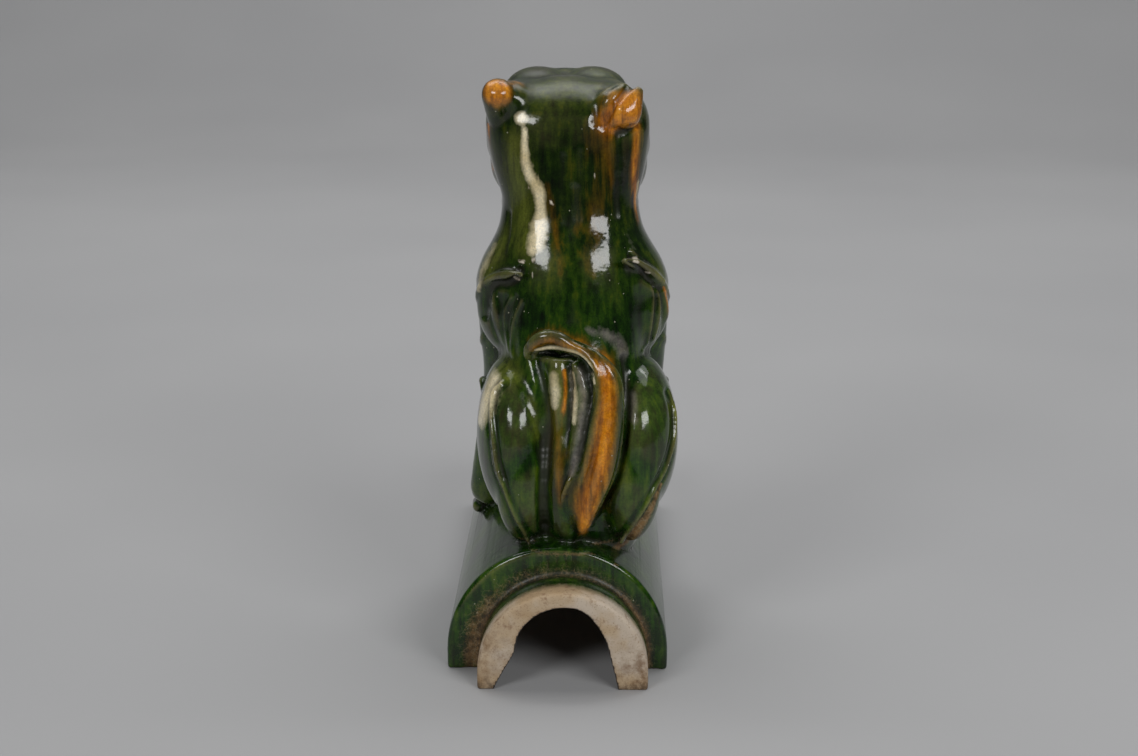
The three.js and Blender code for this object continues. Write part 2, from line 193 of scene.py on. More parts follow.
def smooth_line(points, count):
    """A smooth line through the points, as evenly spaced samples."""
    points = np.asarray(points, float)
    padded = np.vstack([2 * points[0] - points[1], points, 2 * points[-1] - points[-2]])
    fine = []
    for i in range(len(points) - 1):
        a, b, c, d = padded[i:i + 4]
        t = np.linspace(0, 1, STEPS, endpoint=False)[:, None]
        fine.append(0.5 * (2 * b + (c - a) * t + (2 * a - 5 * b + 4 * c - d) * t ** 2
                           + (3 * b - a - 3 * c + d) * t ** 3))
    fine = np.vstack(fine + [points[-1:]])
    length = np.concatenate([[0], np.cumsum(np.linalg.norm(np.diff(fine, axis=0), axis=1))])
    even = np.linspace(0, length[-1], count)
    return np.column_stack([np.interp(even, length, fine[:, k]) for k in range(fine.shape[1])])


def roll(name, points, radii, flat=1, side=None, segments=16, rings=26):
    """A roll of clay along a smooth line, with domed ends. flat is its thickness over its width."""
    line = smooth_line(points, SAMPLES)
    length = np.linalg.norm(np.diff(line, axis=0), axis=1).sum()
    tangent = np.gradient(line, axis=0)
    tangent /= np.linalg.norm(tangent, axis=1)[:, None]
    across = np.zeros_like(line)
    first = np.array(side if side else (1, 0, 0), float)
    if abs(first @ tangent[0]) > 0.9:
        first = np.array((0, 1, 0), float)
    for i in range(SAMPLES):
        first = np.array(side, float) if side else first
        first = first - (first @ tangent[i]) * tangent[i]
        first /= np.linalg.norm(first)
        across[i] = first
    other = np.cross(tangent, across)
    width = np.interp(np.linspace(0, 1, SAMPLES), np.linspace(0, 1, len(radii)), radii)

    def at(share, around):
        along = share * (length + radii[0] + radii[-1]) - radii[0]
        place = np.clip(along / length, 0, 1) * (SAMPLES - 1)
        before = np.clip(-along / radii[0], 0, 1)
        after = np.clip((along - length) / radii[-1], 0, 1)
        radius = np.interp(place, np.arange(SAMPLES), width)
        radius = radius * np.sqrt(np.maximum(1 - before ** 2, 0) * np.maximum(1 - after ** 2, 0))
        past = np.where(along < 0, along, np.maximum(along - length, 0))
        return (read_off(place, line) + read_off(place, tangent) * past[:, None]
                + read_off(place, across) * (radius * np.cos(around))[:, None]
                + read_off(place, other) * (radius * flat * np.sin(around))[:, None])

    return round_form(name, at, segments, rings)


def mirrored(points, side):
    return [(side * x, y, z) for x, y, z in points]


print("samples along a roll", SAMPLES)

# %% [markdown]
# ## The trunk
# Its section was measured row by row: where the back is, where the front is, and half the width.
# The rings of one sphere are moved to those rows, so the body has no seams.

# %% Trunk
# Height, back, front, half width.
TRUNK_ROWS = [
    [-5, 8, 38, 14],
    [3, 5.4, 42, 15],
    [12, 4.8, 44, 15.6],
    [22, 4.6, 43, 15.8],
    [32, 4.8, 41.5, 15.6],
    [41, 7.2, 42.5, 15.8],
    [46, 8.8, 44, 16.4],
    [52, 10.2, 46, 17.0],
    [58, 11.6, 47, 16.8],
    [62, 12.8, 46.4, 16.2],
    [65.5, 14.4, 45, 15.6],
    [69, 16.0, 43.4, 15.0],
    [73, 17.0, 42, 14.9],
    [79, 17.6, 43, 16.6],
    [86, 18.0, 44, 17.8],
    [91, 18.8, 43, 17.7],
    [95, 21.4, 42, 15.6],
    [98, 26, 39.5, 11.0],
]
# The shoulders hang over the body like a cape: it widens down from the neck and ends in the lip.
CAPE_ROWS = [
    [46.5, 20, 38, 14],
    [50, 15, 43, 20.2],
    [53, 13.6, 45, 21.4],
    [56, 13.0, 45, 21.0],
    [59.5, 13.2, 45, 19.6],
    [63, 14.2, 44.6, 17.5],
    [67, 15.8, 44, 15.7],
    [74, 17.8, 42, 14.6],
]


def rowed(name, table, squareness=0.85, closing=0.02):
    """A form by rows. Its first and last share, closing, is taken up by its round ends."""
    rows = smooth_line(table, 120)

    def squarer(value):
        return np.sign(value) * np.abs(value) ** squareness

    def at(share, around):
        row = np.clip(share * (1 + 2 * closing) - closing, 0, 1) * (len(rows) - 1)
        z, back, front, half = read_off(row, rows).T
        close = np.sqrt(np.clip(np.minimum(share, 1 - share) / closing, 0, 1))
        x = half * close * squarer(np.cos(around))
        y = (front - back) / 2 * close * squarer(np.sin(around))
        return np.column_stack([x, (back + front) / 2 + y, z])

    return round_form(name, at, segments=64, rings=72)


soft_forms = [rowed("trunk", TRUNK_ROWS), rowed("cape", CAPE_ROWS)]
print("rows", len(TRUNK_ROWS), len(CAPE_ROWS))

# %% [markdown]
# ## Soft masses
# Thighs, the pads of the buttocks, shoulders, legs and the big shapes of the head are pressed
# together in the real clay and have no edges between them. They are joined and fused first.

# %% Haunches, legs and shoulders
THIGHS = {-1: ((-12.6, 20, 21.4), (9.2, 17.8, 18.8)), 1: ((13.6, 20, 21.4), (9.3, 17.6, 18.4))}
PADS = {-1: ((-11.2, 9.4, 14), (6.4, 8, 14)), 1: ((11.8, 9.8, 14), (7.0, 8, 14))}
PAW_SHIFT = -2.4


def paw_place(side):
    return side * 17.5 + PAW_SHIFT, 51


def foreleg(side):
    x, y = paw_place(side)
    ground = tile_back(x, y)
    line = [
        (side * 13.4, 30, 56),
        (side * 15, 34, 46),
        (side * 15.4, 39.5, 31),
        (side * 16.6 + PAW_SHIFT / 2, 45, 16),
        (x, 48.5, ground + 5),
    ]
    return [
        roll("foreleg", line, [6.6, 6.2, 5.2, 4.8, 5], segments=24, rings=36),
        ball("front_paw", (x, 51, ground + 3.4), (5, 4.8, 3.8)),
    ]


def hind_foot(side):
    places = [(side * 12, 22, 4.5), (side * 12.8, 30, 4), (side * 13.4, 38, 3.2)]
    line = [(x, y, tile_back(x, y) + above) for x, y, above in places]
    return roll("hind_foot", line, [3.6, 4.4, 4.2], segments=24)


for side in (-1, 1):
    soft_forms += [
        ball("thigh", *THIGHS[side], 8),
        ball("knee", (side * 14.2, 31, 24), (6.4, 9.5, 12.4), -14),
        ball("pad", *PADS[side], 4),
        ball("shoulder", (side * 12.2, 28, 49), (9.2, 12, 12), 14),
        hind_foot(side),
        *foreleg(side),
    ]
soft_forms.append(ball("rump", (-1.8, 7.6, 15), (5.6, 6.8, 16), 3))
soft_forms.append(ball("rump_neck", (-3.2, 8.6, 32), (3.8, 5, 13), 3))
print("soft forms so far", len(soft_forms))

# %% Big shapes of the head
HEAD = [
    ("skull", (0, 33, 84.6), (18.2, 14, 12.6), 0),
    ("poll", (0, 31, 87.6), (16.6, 12.6, 11.4), 0),
    ("forehead", (0, 43.6, 93.4), (12, 6.6, 6), 0),
    ("snout", (0, 46, 83), (10.6, 11, 8.6), -12),
    ("muzzle", (0, 50.4, 83.4), (9.4, 10.8, 6.4), -12),
    ("lower_jaw", (0, 47.4, 73), (8.4, 11.6, 4.2), -8),
    ("throat", (0, 40, 73), (11.5, 9, 7), 0),
]
LEAF_ROOT = [(6.4, 22.8, 88.0), (7.6, 21.8, 91.6), (9.4, 21.4, 94.4), (11.8, 22.4, 96.2)]
for name, centre, radii, tip in HEAD:
    soft_forms.append(ball(name, centre, radii, tip))
soft_forms += [
    ball("left_ear_root", (-12.0, 25.4, 94.2), (4.8, 5.0, 4.4)),
    roll("right_ear_root", LEAF_ROOT, [1.8, 2.8, 3.2, 2.4], segments=24, rings=30),
]
for side in (-1, 1):
    soft_forms += [
        ball("brow_lobe", (side * 6.0, 40.6, 94.6), (7.8, 7.6, 5.4)),
        ball("cheek", (side * 9.4, 36.6, 79.6), (8.2, 8.6, 9.4)),
    ]
print("soft forms", len(soft_forms))

# %% [markdown]
# ## Fusing clay
# Joined balls still meet in hard creases. A voxel remesh makes one skin over all of them, and a
# smooth modifier draws that skin in and out as a wet thumb does.

# %% Join, skin and smooth
def join(pieces, name):
    bpy.ops.object.select_all(action="DESELECT")
    for piece in pieces:
        piece.select_set(True)
    bpy.context.view_layer.objects.active = pieces[0]
    bpy.ops.object.join()
    joined = bpy.context.object
    joined.name = name
    edit_all()
    bpy.ops.mesh.normals_make_consistent(inside=False)
    leave_edit()
    return joined


def skin(piece, voxel):
    only(piece)
    piece.data.remesh_voxel_size = voxel
    bpy.ops.object.voxel_remesh()
    print(piece.name, "has", len(piece.data.polygons), "faces at", voxel)


def apply_modifiers(piece):
    only(piece)
    for modifier in list(piece.modifiers):
        bpy.ops.object.modifier_apply(modifier=modifier.name)


def smooth(piece, rounds, group=""):
    modifier = piece.modifiers.new("thumb", "SMOOTH")
    modifier.iterations = rounds
    modifier.factor = 0.5
    modifier.vertex_group = group
    apply_modifiers(piece)


def smooth_where(piece, name, weight, rounds):
    """Smooths only where the weight says, by a vertex group of that name."""
    group = piece.vertex_groups.new(name=name)
    for index in np.where(weight > 0.05)[0]:
        group.add([int(index)], float(weight[index]), "REPLACE")
    smooth(piece, rounds, group=name)


SOFT_VOXEL = 0.0019
body = join(soft_forms, "beast_body")
skin(body, SOFT_VOXEL)
smooth(body, 14)

# %% [markdown]
# ## Crisp forms
# The second pass adds what was rolled or cut separately: rims of the haunches, lips and flames of
# the shoulders, tufts, toes, the tail's locks, ears, and the face. They keep their edges, because
# they are fused at a finer voxel and hardly smoothed.

# %% Rims of the haunches
# Each rim starts at the tile, climbs the outside of the pad and curls over the top of the thigh.
RIMS = {
    -1: [(-10.4, 4.6, 1.6), (-12.9, 3.9, 7.5), (-15.2, 3.9, 13.5), (-17.0, 4.6, 18.6), (-17.6, 6.2, 24.6),
         (-17.8, 9.4, 30.2), (-17.0, 13.6, 34.6), (-14.6, 16.5, 37.8), (-11.6, 16, 39.6)],
    1: [(9.9, 4.9, 0.8), (11.6, 4.9, 4.2), (14.6, 5.6, 9.4), (17.4, 6.8, 13.8), (19.8, 8.8, 18.4),
        (21.2, 11.4, 23.4), (21.4, 14.2, 28.4), (19.8, 16.6, 32.6), (16.6, 17, 36.2), (12.6, 16, 38.6)],
}
RIM_RADII = [0.5, 0.7, 0.8, 0.9, 0.9, 0.8, 0.6, 0.3]
CURL = [(20.0, 22.4, 30), (20.2, 27, 31.5), (19.6, 31.0, 27), (19.6, 30, 21.4), (20.2, 25, 19.6),
        (20.2, 22.8, 23)]
CURL_RADII = [0.7, 1.2, 1.4, 1.4, 1.2, 0.7]
crisp_forms = []
for side in (-1, 1):
    crisp_forms += [
        roll("rim", RIMS[side], RIM_RADII, segments=14, rings=60),
        roll("thigh_curl", mirrored(CURL, side), CURL_RADII, rings=44),
    ]
print("rims", len(crisp_forms))

# %% Lips, flames and tufts of the shoulders
for side in (-1, 1):
    rise = 3 if side > 0 else 0
    lip = [
        (11.0, 12.2, 58.8 + rise),
        (14, 16, 58.0 + rise * 0.7),
        (16.9, 20, 56.2 + rise * 0.4),
        (19.2, 24, 53.4),
        (20.1, 27.6, 50.0),
        (19.2, 30, 46.6),
    ]
    crisp_forms.append(
        roll("lip", mirrored(lip, side), [0.8, 1.5, 1.8, 1.9, 1.6, 0.8], flat=0.8, rings=44))
    for row in (0, 1, 2):
        flame = [
            (18.4, 40 - 1.5 * row, 38 + 5 * row),
            (19.6, 37 - 1.5 * row, 38 + 5.4 * row),
            (19.8, 33.6 - 1.4 * row, 40 + 5.8 * row),
            (19.0, 30.6 - row, 43 + 5.4 * row),
        ]
        crisp_forms.append(roll("flame", mirrored(flame, side), [1.0, 1.6, 1.3, 0.4]))
        tuft = [
            (16.4, 37 + 1.4 * row, 30 - 5.4 * row),
            (19.2, 35 + 1.4 * row, 25.5 - 5.4 * row),
            (19.8, 32.8 + 1.4 * row, 21 - 5 * row),
        ]
        crisp_forms.append(roll("tuft", mirrored(tuft, side), [1.9, 1.5, 0.5]))
print("crisp forms", len(crisp_forms))

# %% Toes and claws
# Four toes lie side by side across the slope of the tile, each with a blunt claw at its end.
def toes(x, y, above=3, number=4, spacing=2.7):
    slope = tile_back(x + 1, y) - tile_back(x, y)
    gap = spacing / math.hypot(1, slope)
    made = []
    for i in range(number):
        from_middle = i - (number - 1) / 2
        at = x + gap * from_middle
        reach = y + 5 - 0.6 * abs(from_middle)
        toe = [
            (at, y - 1, tile_back(at, y) + above),
            (at, y + 2.6, tile_back(at, y + 2.6) + above * 0.95),
            (at, reach, tile_back(at, reach) + 1.7),
        ]
        claw = [
            (at, reach + 0.6, tile_back(at, reach) + 2.0),
            (at, reach + 1.8, tile_back(at, reach + 1.8) + 1.3),
            (at, reach + 2.4, tile_back(at, reach + 2.4) + 0.4),
        ]
        made.append(roll("toe", toe, [1.6, 1.8, 1.3], segments=14, rings=20))
        made.append(roll("claw", claw, [0.8, 0.7, 0.3], segments=12, rings=14))
    return made


for side in (-1, 1):
    crisp_forms += toes(*paw_place(side))
    crisp_forms += toes(side * 13.4, 38)
print("crisp forms", len(crisp_forms))

# %% [markdown]
# ## The tail
# It springs from the left of the rump, arches to the right and hangs in a flat brush. A thin
# ribbon carries it, and four locks lie along it side by side. They taper and run together to a
# drip at the tile, and one thin lock splits off at the left. A web of clay fills the gap between
# the brush and the rump.

# %% Tail
# Three places, then half the ribbon's width.
TAIL_ROWS = np.array([
    [-9.0, 7.6, 40.8, 1.3],
    [-9.1, 5.8, 44.0, 1.7],
    [-6.3, 5.0, 46.1, 2.0],
    [-2.6, 4.7, 45.5, 1.7],
    [1.6, 4.3, 43.9, 1.9],
    [5.0, 3.6, 40.8, 2.5],
    [6.9, 2.6, 34.6, 2.9],
    [5.9, 1.6, 26, 3.3],
    [3.9, 1.0, 18.6, 4.2],
    [1.7, 1.2, 12, 4.0],
    [1.3, 2.0, 6.6, 1.8],
    [1.4, 2.6, 3.4, 0.5],
])


RIBBON_THICK = 1.2


def tail_ribbon():
    rows = smooth_line(TAIL_ROWS, 100)
    line = rows[:, :3]
    along = np.gradient(line, axis=0)
    along /= np.linalg.norm(along, axis=1)[:, None]
    across = np.cross(along, (0, -1, 0))
    across /= np.linalg.norm(across, axis=1)[:, None]
    outward = np.cross(across, along)

    def at(share, around):
        place = share * (len(rows) - 1)
        half = np.interp(place, np.arange(len(rows)), rows[:, 3])
        close = np.sqrt(np.clip(np.minimum(share, 1 - share) / 0.03, 0, 1))
        thick = np.minimum(RIBBON_THICK, half)
        return (read_off(place, line) + read_off(place, across) * (half * close * np.cos(around))[:, None]
                + read_off(place, outward) * (thick * close * np.sin(around))[:, None])

    return round_form("tail_ribbon", at, segments=28, rings=64)


LOCKS = [
    ([(-9.0, 6.4, 43.6), (-8.4, 4.8, 45.8), (-6.0, 4.0, 47.2), (-3.4, 3.8, 47.0), (-1.0, 3.6, 45.4),
      (1.6, 3.3, 44.2), (3.6, 2.6, 42.0), (4.8, 1.8, 38.9), (4.9, 1.1, 35.1), (4.0, 0.5, 28.9),
      (2.6, 0.1, 22.6), (1.3, 0.0, 17.8), (0.0, 0.4, 12.9)],
     [1.2, 1.6, 1.6, 1.2, 1.2, 1.3, 1.3, 1.1, 0.9, 0.4]),
    ([(-8.2, 6.0, 43.4), (-6.6, 4.8, 45.0), (-3.4, 4.4, 45.3), (0.2, 4.0, 44.3), (3.4, 3.2, 42.6),
      (5.8, 2.4, 40.0), (6.7, 1.6, 36.0), (6.6, 1.1, 31), (5.7, 0.4, 24), (4.3, 0.0, 17.4),
      (2.7, 0.4, 11), (1.6, 1.4, 5)],
     [0.8, 1.2, 1.0, 1.1, 1.2, 1.3, 1.4, 1.4, 1.2, 0.5]),
    ([(1.6, 4.2, 44.6), (4.6, 3.6, 43.2), (7.2, 2.7, 40.0), (8.3, 2.0, 36.0), (8.3, 1.4, 30.5),
      (7.5, 0.6, 23.0), (6.3, 0.2, 16.8), (4.5, 0.5, 11.2), (2.4, 1.5, 5.4)],
     [0.4, 1.1, 1.3, 1.4, 1.5, 1.5, 1.3, 0.9, 0.4]),
    ([(3.4, 4.6, 44.6), (6.4, 3.8, 42.4), (8.8, 3.0, 39.0), (9.6, 2.4, 34.6), (9.4, 1.7, 28.6),
      (8.7, 1.0, 22.6), (7.7, 0.8, 18.0), (5.6, 1.0, 12.2), (3.6, 1.6, 7.6)],
     [0.3, 0.7, 0.9, 0.9, 1.0, 1.0, 0.9, 0.6, 0.3]),
    ([(3.2, 1.9, 30), (2.0, 1.4, 26), (0.6, 0.8, 21.8), (-1.0, 0.4, 17.6), (-2.5, 0.5, 14.2),
      (-2.9, 0.9, 12.0), (-2.2, 1.2, 10.2)],
     [0.3, 0.5, 0.6, 0.7, 0.7, 0.5, 0.3]),
]
WEB = [(0.6, 5.4, 40.6), (1.8, 4.6, 36), (1.4, 3.4, 30), (0.4, 2.4, 24), (-1.0, 1.8, 18)]
crisp_forms.append(tail_ribbon())
crisp_forms.append(roll("tail_web", WEB, [1.4, 2.2, 2.2, 1.9, 1.2], flat=0.8, side=(1, 0, 0), segments=24,
                        rings=50))
for line, radii in LOCKS:
    crisp_forms.append(roll("lock", line, radii, segments=14, rings=60))
print("locks", len(LOCKS))

# %% [markdown]
# ## Ears and face
# The left ear is a plain knob and the right one a short pointed leaf. The face looks
# away from the camera, so it is finished in the usual way for such a beast: brows over bulging
# eyes, an upturned nose, open jaws with a tongue, fangs, and a beard.

# %% Ears
KNOB = [(-13.2, 28.6, 85.6), (-14.0, 25.8, 91.0), (-14.5, 22.8, 95.5)]
LEAF = [(8.2, 20.8, 88.6), (10.6, 20.0, 90.8), (12.8, 19.8, 92.8), (14.4, 20.2, 95.2), (15.2, 20.8, 96.6)]
crisp_forms += [
    roll("left_ear", KNOB, [2.4, 3.4, 3.7], segments=24),
    roll("right_ear", LEAF, [1.4, 2.9, 3.7, 2.4, 1.1], flat=0.72, side=(0.75, 0, -0.66), segments=28,
         rings=40),
]
print("crisp forms", len(crisp_forms))

# %% Face
for side in (-1, 1):
    brow = [(2.6, 51, 91.4), (5.2, 48.6, 94.8), (9, 46, 95), (12.6, 41.6, 92.6), (14.6, 36, 91)]
    upper_lip = [(10.6, 43.4, 77.2), (9.8, 50, 79.2), (7.4, 57.6, 80.6), (2.8, 61.2, 82)]
    lower_lip = [(9.2, 44, 74.4), (8.0, 51, 75.2), (5.6, 57, 75.6), (0.4, 59.4, 75.8)]
    lid = [(4.2, 51.6, 91.0), (6.6, 52.6, 93.2), (9.6, 50.6, 92.6), (11.2, 47.6, 90.0)]
    nostril = [(2.0, 60.8, 86.6), (4.0, 61.0, 88.6), (5.6, 58.4, 88.0), (5.4, 57.2, 86.0)]
    crisp_forms += [
        roll("brow", mirrored(brow, side), [1.3, 2.2, 2.8, 2.3, 0.8]),
        ball("eye", (side * 7.2, 49.2, 90.4), (3.4, 3.4, 3.2)),
        ball("pupil", (side * 7.6, 52.2, 90.2), (1.3, 0.8, 1.3)),
        roll("lid", mirrored(lid, side), [0.6, 0.9, 0.9, 0.5]),
        roll("upper_lip", mirrored(upper_lip, side), [1.2, 1.5, 1.5, 1.2]),
        roll("lower_lip", mirrored(lower_lip, side), [0.9, 1.2, 1.2, 1.0]),
        ball("nostril_wing", (side * 3.2, 58.8, 87.4), (2.7, 2.8, 2.5)),
        roll("nostril_rim", mirrored(nostril, side), [0.5, 0.7, 0.7, 0.4]),
        roll("upper_fang", mirrored([(5.6, 57.2, 80.4), (5.5, 57.6, 78.2), (5.2, 57.4, 76)], side),
             [1.1, 0.9, 0.3]),
        roll("lower_fang", mirrored([(4.4, 56.6, 75.2), (4.6, 57.2, 77.2), (4.6, 57, 78.8)], side),
             [0.9, 0.7, 0.3]),
    ]
    for i in range(3):
        place = (side * (1.1 + 1.5 * i), 60.0 - 0.8 * i, 79.6)
        tooth = [place, (place[0], place[1], 78.0)]
        crisp_forms.append(roll("tooth", tooth, [0.7, 0.55], segments=12, rings=12))
    for row in range(3):
        lock = [
            (11 - 0.6 * row, 44 - 1.5 * row, 84 - 5.4 * row),
            (14.8 - 1.0 * row, 41 - 2 * row, 84.6 - 6.2 * row),
            (15.6 - 1.1 * row, 36 - 2 * row, 82.0 - 6.4 * row),
            (15.4 - 1.0 * row, 31 - 2 * row, 84.0 - 6.4 * row),
        ]
        crisp_forms.append(roll("cheek_lock", mirrored(lock, side), [1.6, 2.2, 1.8, 0.5]))
crisp_forms += [
    roll("nose", [(0, 45.6, 92.4), (0, 52, 89.8), (0, 58.4, 88.4)], [3.6, 3, 3.2]),
    roll("tongue", [(0, 43, 75.6), (0, 51, 76.4), (0, 57, 77.0), (0, 60.0, 76.0)], [3.2, 3.4, 2.8, 1.6],
         flat=0.4, side=(1, 0, 0)),
]
for place in (-2, -1, 0, 1, 2):
    beard = [
        (place * 2.6, 50 - 0.8 * abs(place), 71.4),
        (place * 3.0, 51.8 - 1.2 * abs(place), 66.8 + 0.8 * abs(place)),
        (place * 2.6, 50 - abs(place), 61.8 + 1.6 * abs(place)),
    ]
    crisp_forms.append(roll("beard", beard, [1.9, 1.7, 0.5]))
print("crisp forms", len(crisp_forms))

# %% Chest plates
# Broad plates lie one over another from the throat down the breast.
PLATES = 8
for i in range(PLATES):
    share = i / (PLATES - 1)
    z = 21 + 44 * share
    front = 43.6 + 4.4 * math.sin(math.pi * (0.12 + 0.72 * share))
    crisp_forms.append(
        ball("plate", (0, front - 3.0, z), (9.8 - 1.8 * share, 3.4, 4.2), -22, segments=36))
print("plates", PLATES)

# %% [markdown]
# ## The tile
# A cylinder is laid along Y, cut off at half its height and drawn down to the ground. Its end
# edges are rounded. The spigot is the same shape, smaller. The way through is cut by a boolean.

# %% Barrel, spigot and channel
def half_round(name, radius, skirt, start, end, shift=0.0, below=0.0):
    """A half round on straight skirts, from start to end along the tile."""
    bpy.ops.object.select_all(action="DESELECT")
    bpy.ops.mesh.primitive_cylinder_add(vertices=144, radius=radius, depth=end - start)
    piece = bpy.context.object
    piece.name = name
    edit_all()
    bpy.ops.transform.rotate(value=math.pi / 2, orient_axis="X", center_override=(0, 0, 0))
    bpy.ops.transform.translate(value=(shift, (start + end) / 2, skirt))
    bpy.ops.mesh.bisect(plane_co=(0, 0, skirt), plane_no=(0, 0, 1), clear_inner=True, use_fill=True)
    bpy.ops.mesh.select_all(action="DESELECT")
    leave_edit()
    for face in piece.data.polygons:
        face.select = face.normal.z < -0.9
    bpy.ops.object.mode_set(mode="EDIT")
    bpy.ops.mesh.extrude_region_move(TRANSFORM_OT_translate={"value": (0, 0, -skirt - below)})
    leave_edit()
    return piece


HAIR = 1e-5  # places nearer than this are the same


def round_end(piece, end, offset, segments):
    """Rounds the edge of one end of a half round, but not where it meets the ground."""
    only(piece)
    for kind in ("FACE", "EDGE"):
        bpy.ops.object.mode_set(mode="EDIT")
        bpy.ops.mesh.select_mode(type=kind)
        bpy.ops.mesh.select_all(action="DESELECT")
        leave_edit()
    places = points_of(piece)
    for line in piece.data.edges:
        ends = places[list(line.vertices)]
        at_end = np.abs(ends[:, 1] - end).max() < HAIR
        line.select = bool(at_end and ends[:, 2].max() > HAIR)
    bpy.ops.object.mode_set(mode="EDIT")
    bpy.ops.mesh.bevel(offset=offset, segments=segments, affect="EDGES", clamp_overlap=True)
    bpy.ops.mesh.select_mode(type="VERT")
    leave_edit()


def in_triangles(piece):
    """Large many-sided faces can close over a cut, so both pieces are split into triangles first."""
    only(piece)
    edit_all()
    bpy.ops.mesh.quads_convert_to_tris(quad_method="BEAUTY", ngon_method="BEAUTY")
    leave_edit()


def cut_by(piece, tool):
    in_triangles(piece)
    in_triangles(tool)
    modifier = piece.modifiers.new("cut", "BOOLEAN")
    modifier.operation = "DIFFERENCE"
    modifier.solver = "MANIFOLD"
    modifier.object = tool
    apply_modifiers(piece)
    bpy.data.objects.remove(tool, do_unlink=True)


SPIGOT_RADIUS = 0.0455
SPIGOT_SKIRT = 0.009
SPIGOT_SHIFT = 0.0035
BURIED = 0.02  # how far the spigot runs on into the barrel
barrel = half_round("barrel", TILE_RADIUS, TILE_SKIRT, SHOULDER_Y, TILE_LENGTH / 2)
round_end(barrel, SHOULDER_Y, offset=0.0115, segments=8)
round_end(barrel, TILE_LENGTH / 2, offset=0.005, segments=4)
spigot = half_round("spigot", SPIGOT_RADIUS, SPIGOT_SKIRT, -TILE_LENGTH / 2, SHOULDER_Y + BURIED,
                    shift=SPIGOT_SHIFT)
round_end(spigot, -TILE_LENGTH / 2, offset=0.0028, segments=3)
print("tile pieces", len(barrel.data.polygons), len(spigot.data.polygons))

# %% The way through the tile
# Behind the spigot it is a half round. Through the spigot it is a narrower arch, and the left leg is
# cut back towards the ground.
ARCH = [(-32.8, -2), (-32.2, 2), (-28.1, 9.9), (-24.8, 15.6), (-21.8, 21.6), (-20.9, 27.5),
        (-18.2, 33.8), (-11.7, 40.8), (-3.9, 44.9), (5, 46.4), (12.6, 44.9), (18.1, 40.8),
        (23.3, 33.8), (27.0, 26.1), (28.8, 18.4), (30.2, 12.7), (31.9, 5.7), (33.1, -2)]  # in mm
ARCH_END = SHOULDER_Y + 0.03
PAST = 0.02  # how far a cutting tool runs past the tile


def spigot_way():
    outline = [(x / 1000, z / 1000) for x, z in smooth_line(ARCH, 48)]
    start, end = -TILE_LENGTH / 2 - PAST, ARCH_END
    bpy.ops.object.select_all(action="DESELECT")
    bpy.ops.mesh.primitive_circle_add(vertices=len(outline), radius=1, fill_type="NGON")
    way = bpy.context.object
    set_points(way, [(x, start, z) for x, z in outline])
    edit_all()
    bpy.ops.mesh.extrude_region_move(TRANSFORM_OT_translate={"value": (0, end - start, 0)})
    bpy.ops.mesh.select_all(action="SELECT")
    bpy.ops.mesh.normals_make_consistent(inside=False)
    leave_edit()
    return way


CHANNEL_START = SHOULDER_Y + 0.012
channel = half_round("channel", CHANNEL_RADIUS, TILE_SKIRT, CHANNEL_START, TILE_LENGTH / 2 + PAST,
                     below=0.004)
way_spigot = spigot_way()
for piece in (barrel, spigot):
    for tool in (channel, way_spigot):
        copy = tool.copy()
        copy.data = tool.data.copy()
        bpy.context.collection.objects.link(copy)
        cut_by(piece, copy)
for tool in (channel, way_spigot):
    bpy.data.objects.remove(tool, do_unlink=True)
print("faces after the cuts", len(barrel.data.polygons), len(spigot.data.polygons))

# %% [markdown]
# ## One skin over beast and tile
# What reaches through the tile's crown into the channel is pushed back into its wall. Then all is
# joined and skinned at about a millimetre.

# %% Skin
def keep_out_of_channel(piece, wall=0.005):
    points = points_of(piece)
    from_axis = np.hypot(points[:, 0], points[:, 2] - TILE_SKIRT)
    inside = (from_axis < CHANNEL_RADIUS + wall) & (points[:, 2] > TILE_SKIRT)
    grow = (CHANNEL_RADIUS + wall) / np.maximum(from_axis[inside], HAIR)
    points[inside, 0] *= grow
    points[inside, 2] = TILE_SKIRT + (points[inside, 2] - TILE_SKIRT) * grow
    set_points(piece, points)


for piece in [body, *crisp_forms]:
    keep_out_of_channel(piece)
FINE_VOXEL = 0.0011
figure = join([body, *crisp_forms, barrel, spigot], "glazed_tile_beast")
skin(figure, FINE_VOXEL)
smooth(figure, 4)

# The corner between shoulder and spigot was wiped round with a finger.
places = points_of(figure)
from_axis = np.hypot(places[:, 0] - 0.002, np.maximum(places[:, 2] - TILE_SKIRT, 0))
cove = np.exp(-((places[:, 1] - SHOULDER_Y) / 0.004) ** 2) * (from_axis > 0.040) * (from_axis < 0.054)
smooth_where(figure, "cove", cove, 24)
print("bounds", points_of(figure).min(0).round(4), points_of(figure).max(0).round(4))

# %% [markdown]
# ## Tooling
# Folds, the spine and the seam round the seat were pressed in with a stick, and ridges pinched up
# beside them. Each is a line seen from behind. Points near it move in or out along their normals.

# %% Lines seen from behind
def normals_of(piece):
    flat = np.empty(len(piece.data.vertices) * 3, np.float32)
    piece.data.vertices.foreach_get("normal", flat)
    return flat.reshape(-1, 3).astype(float)


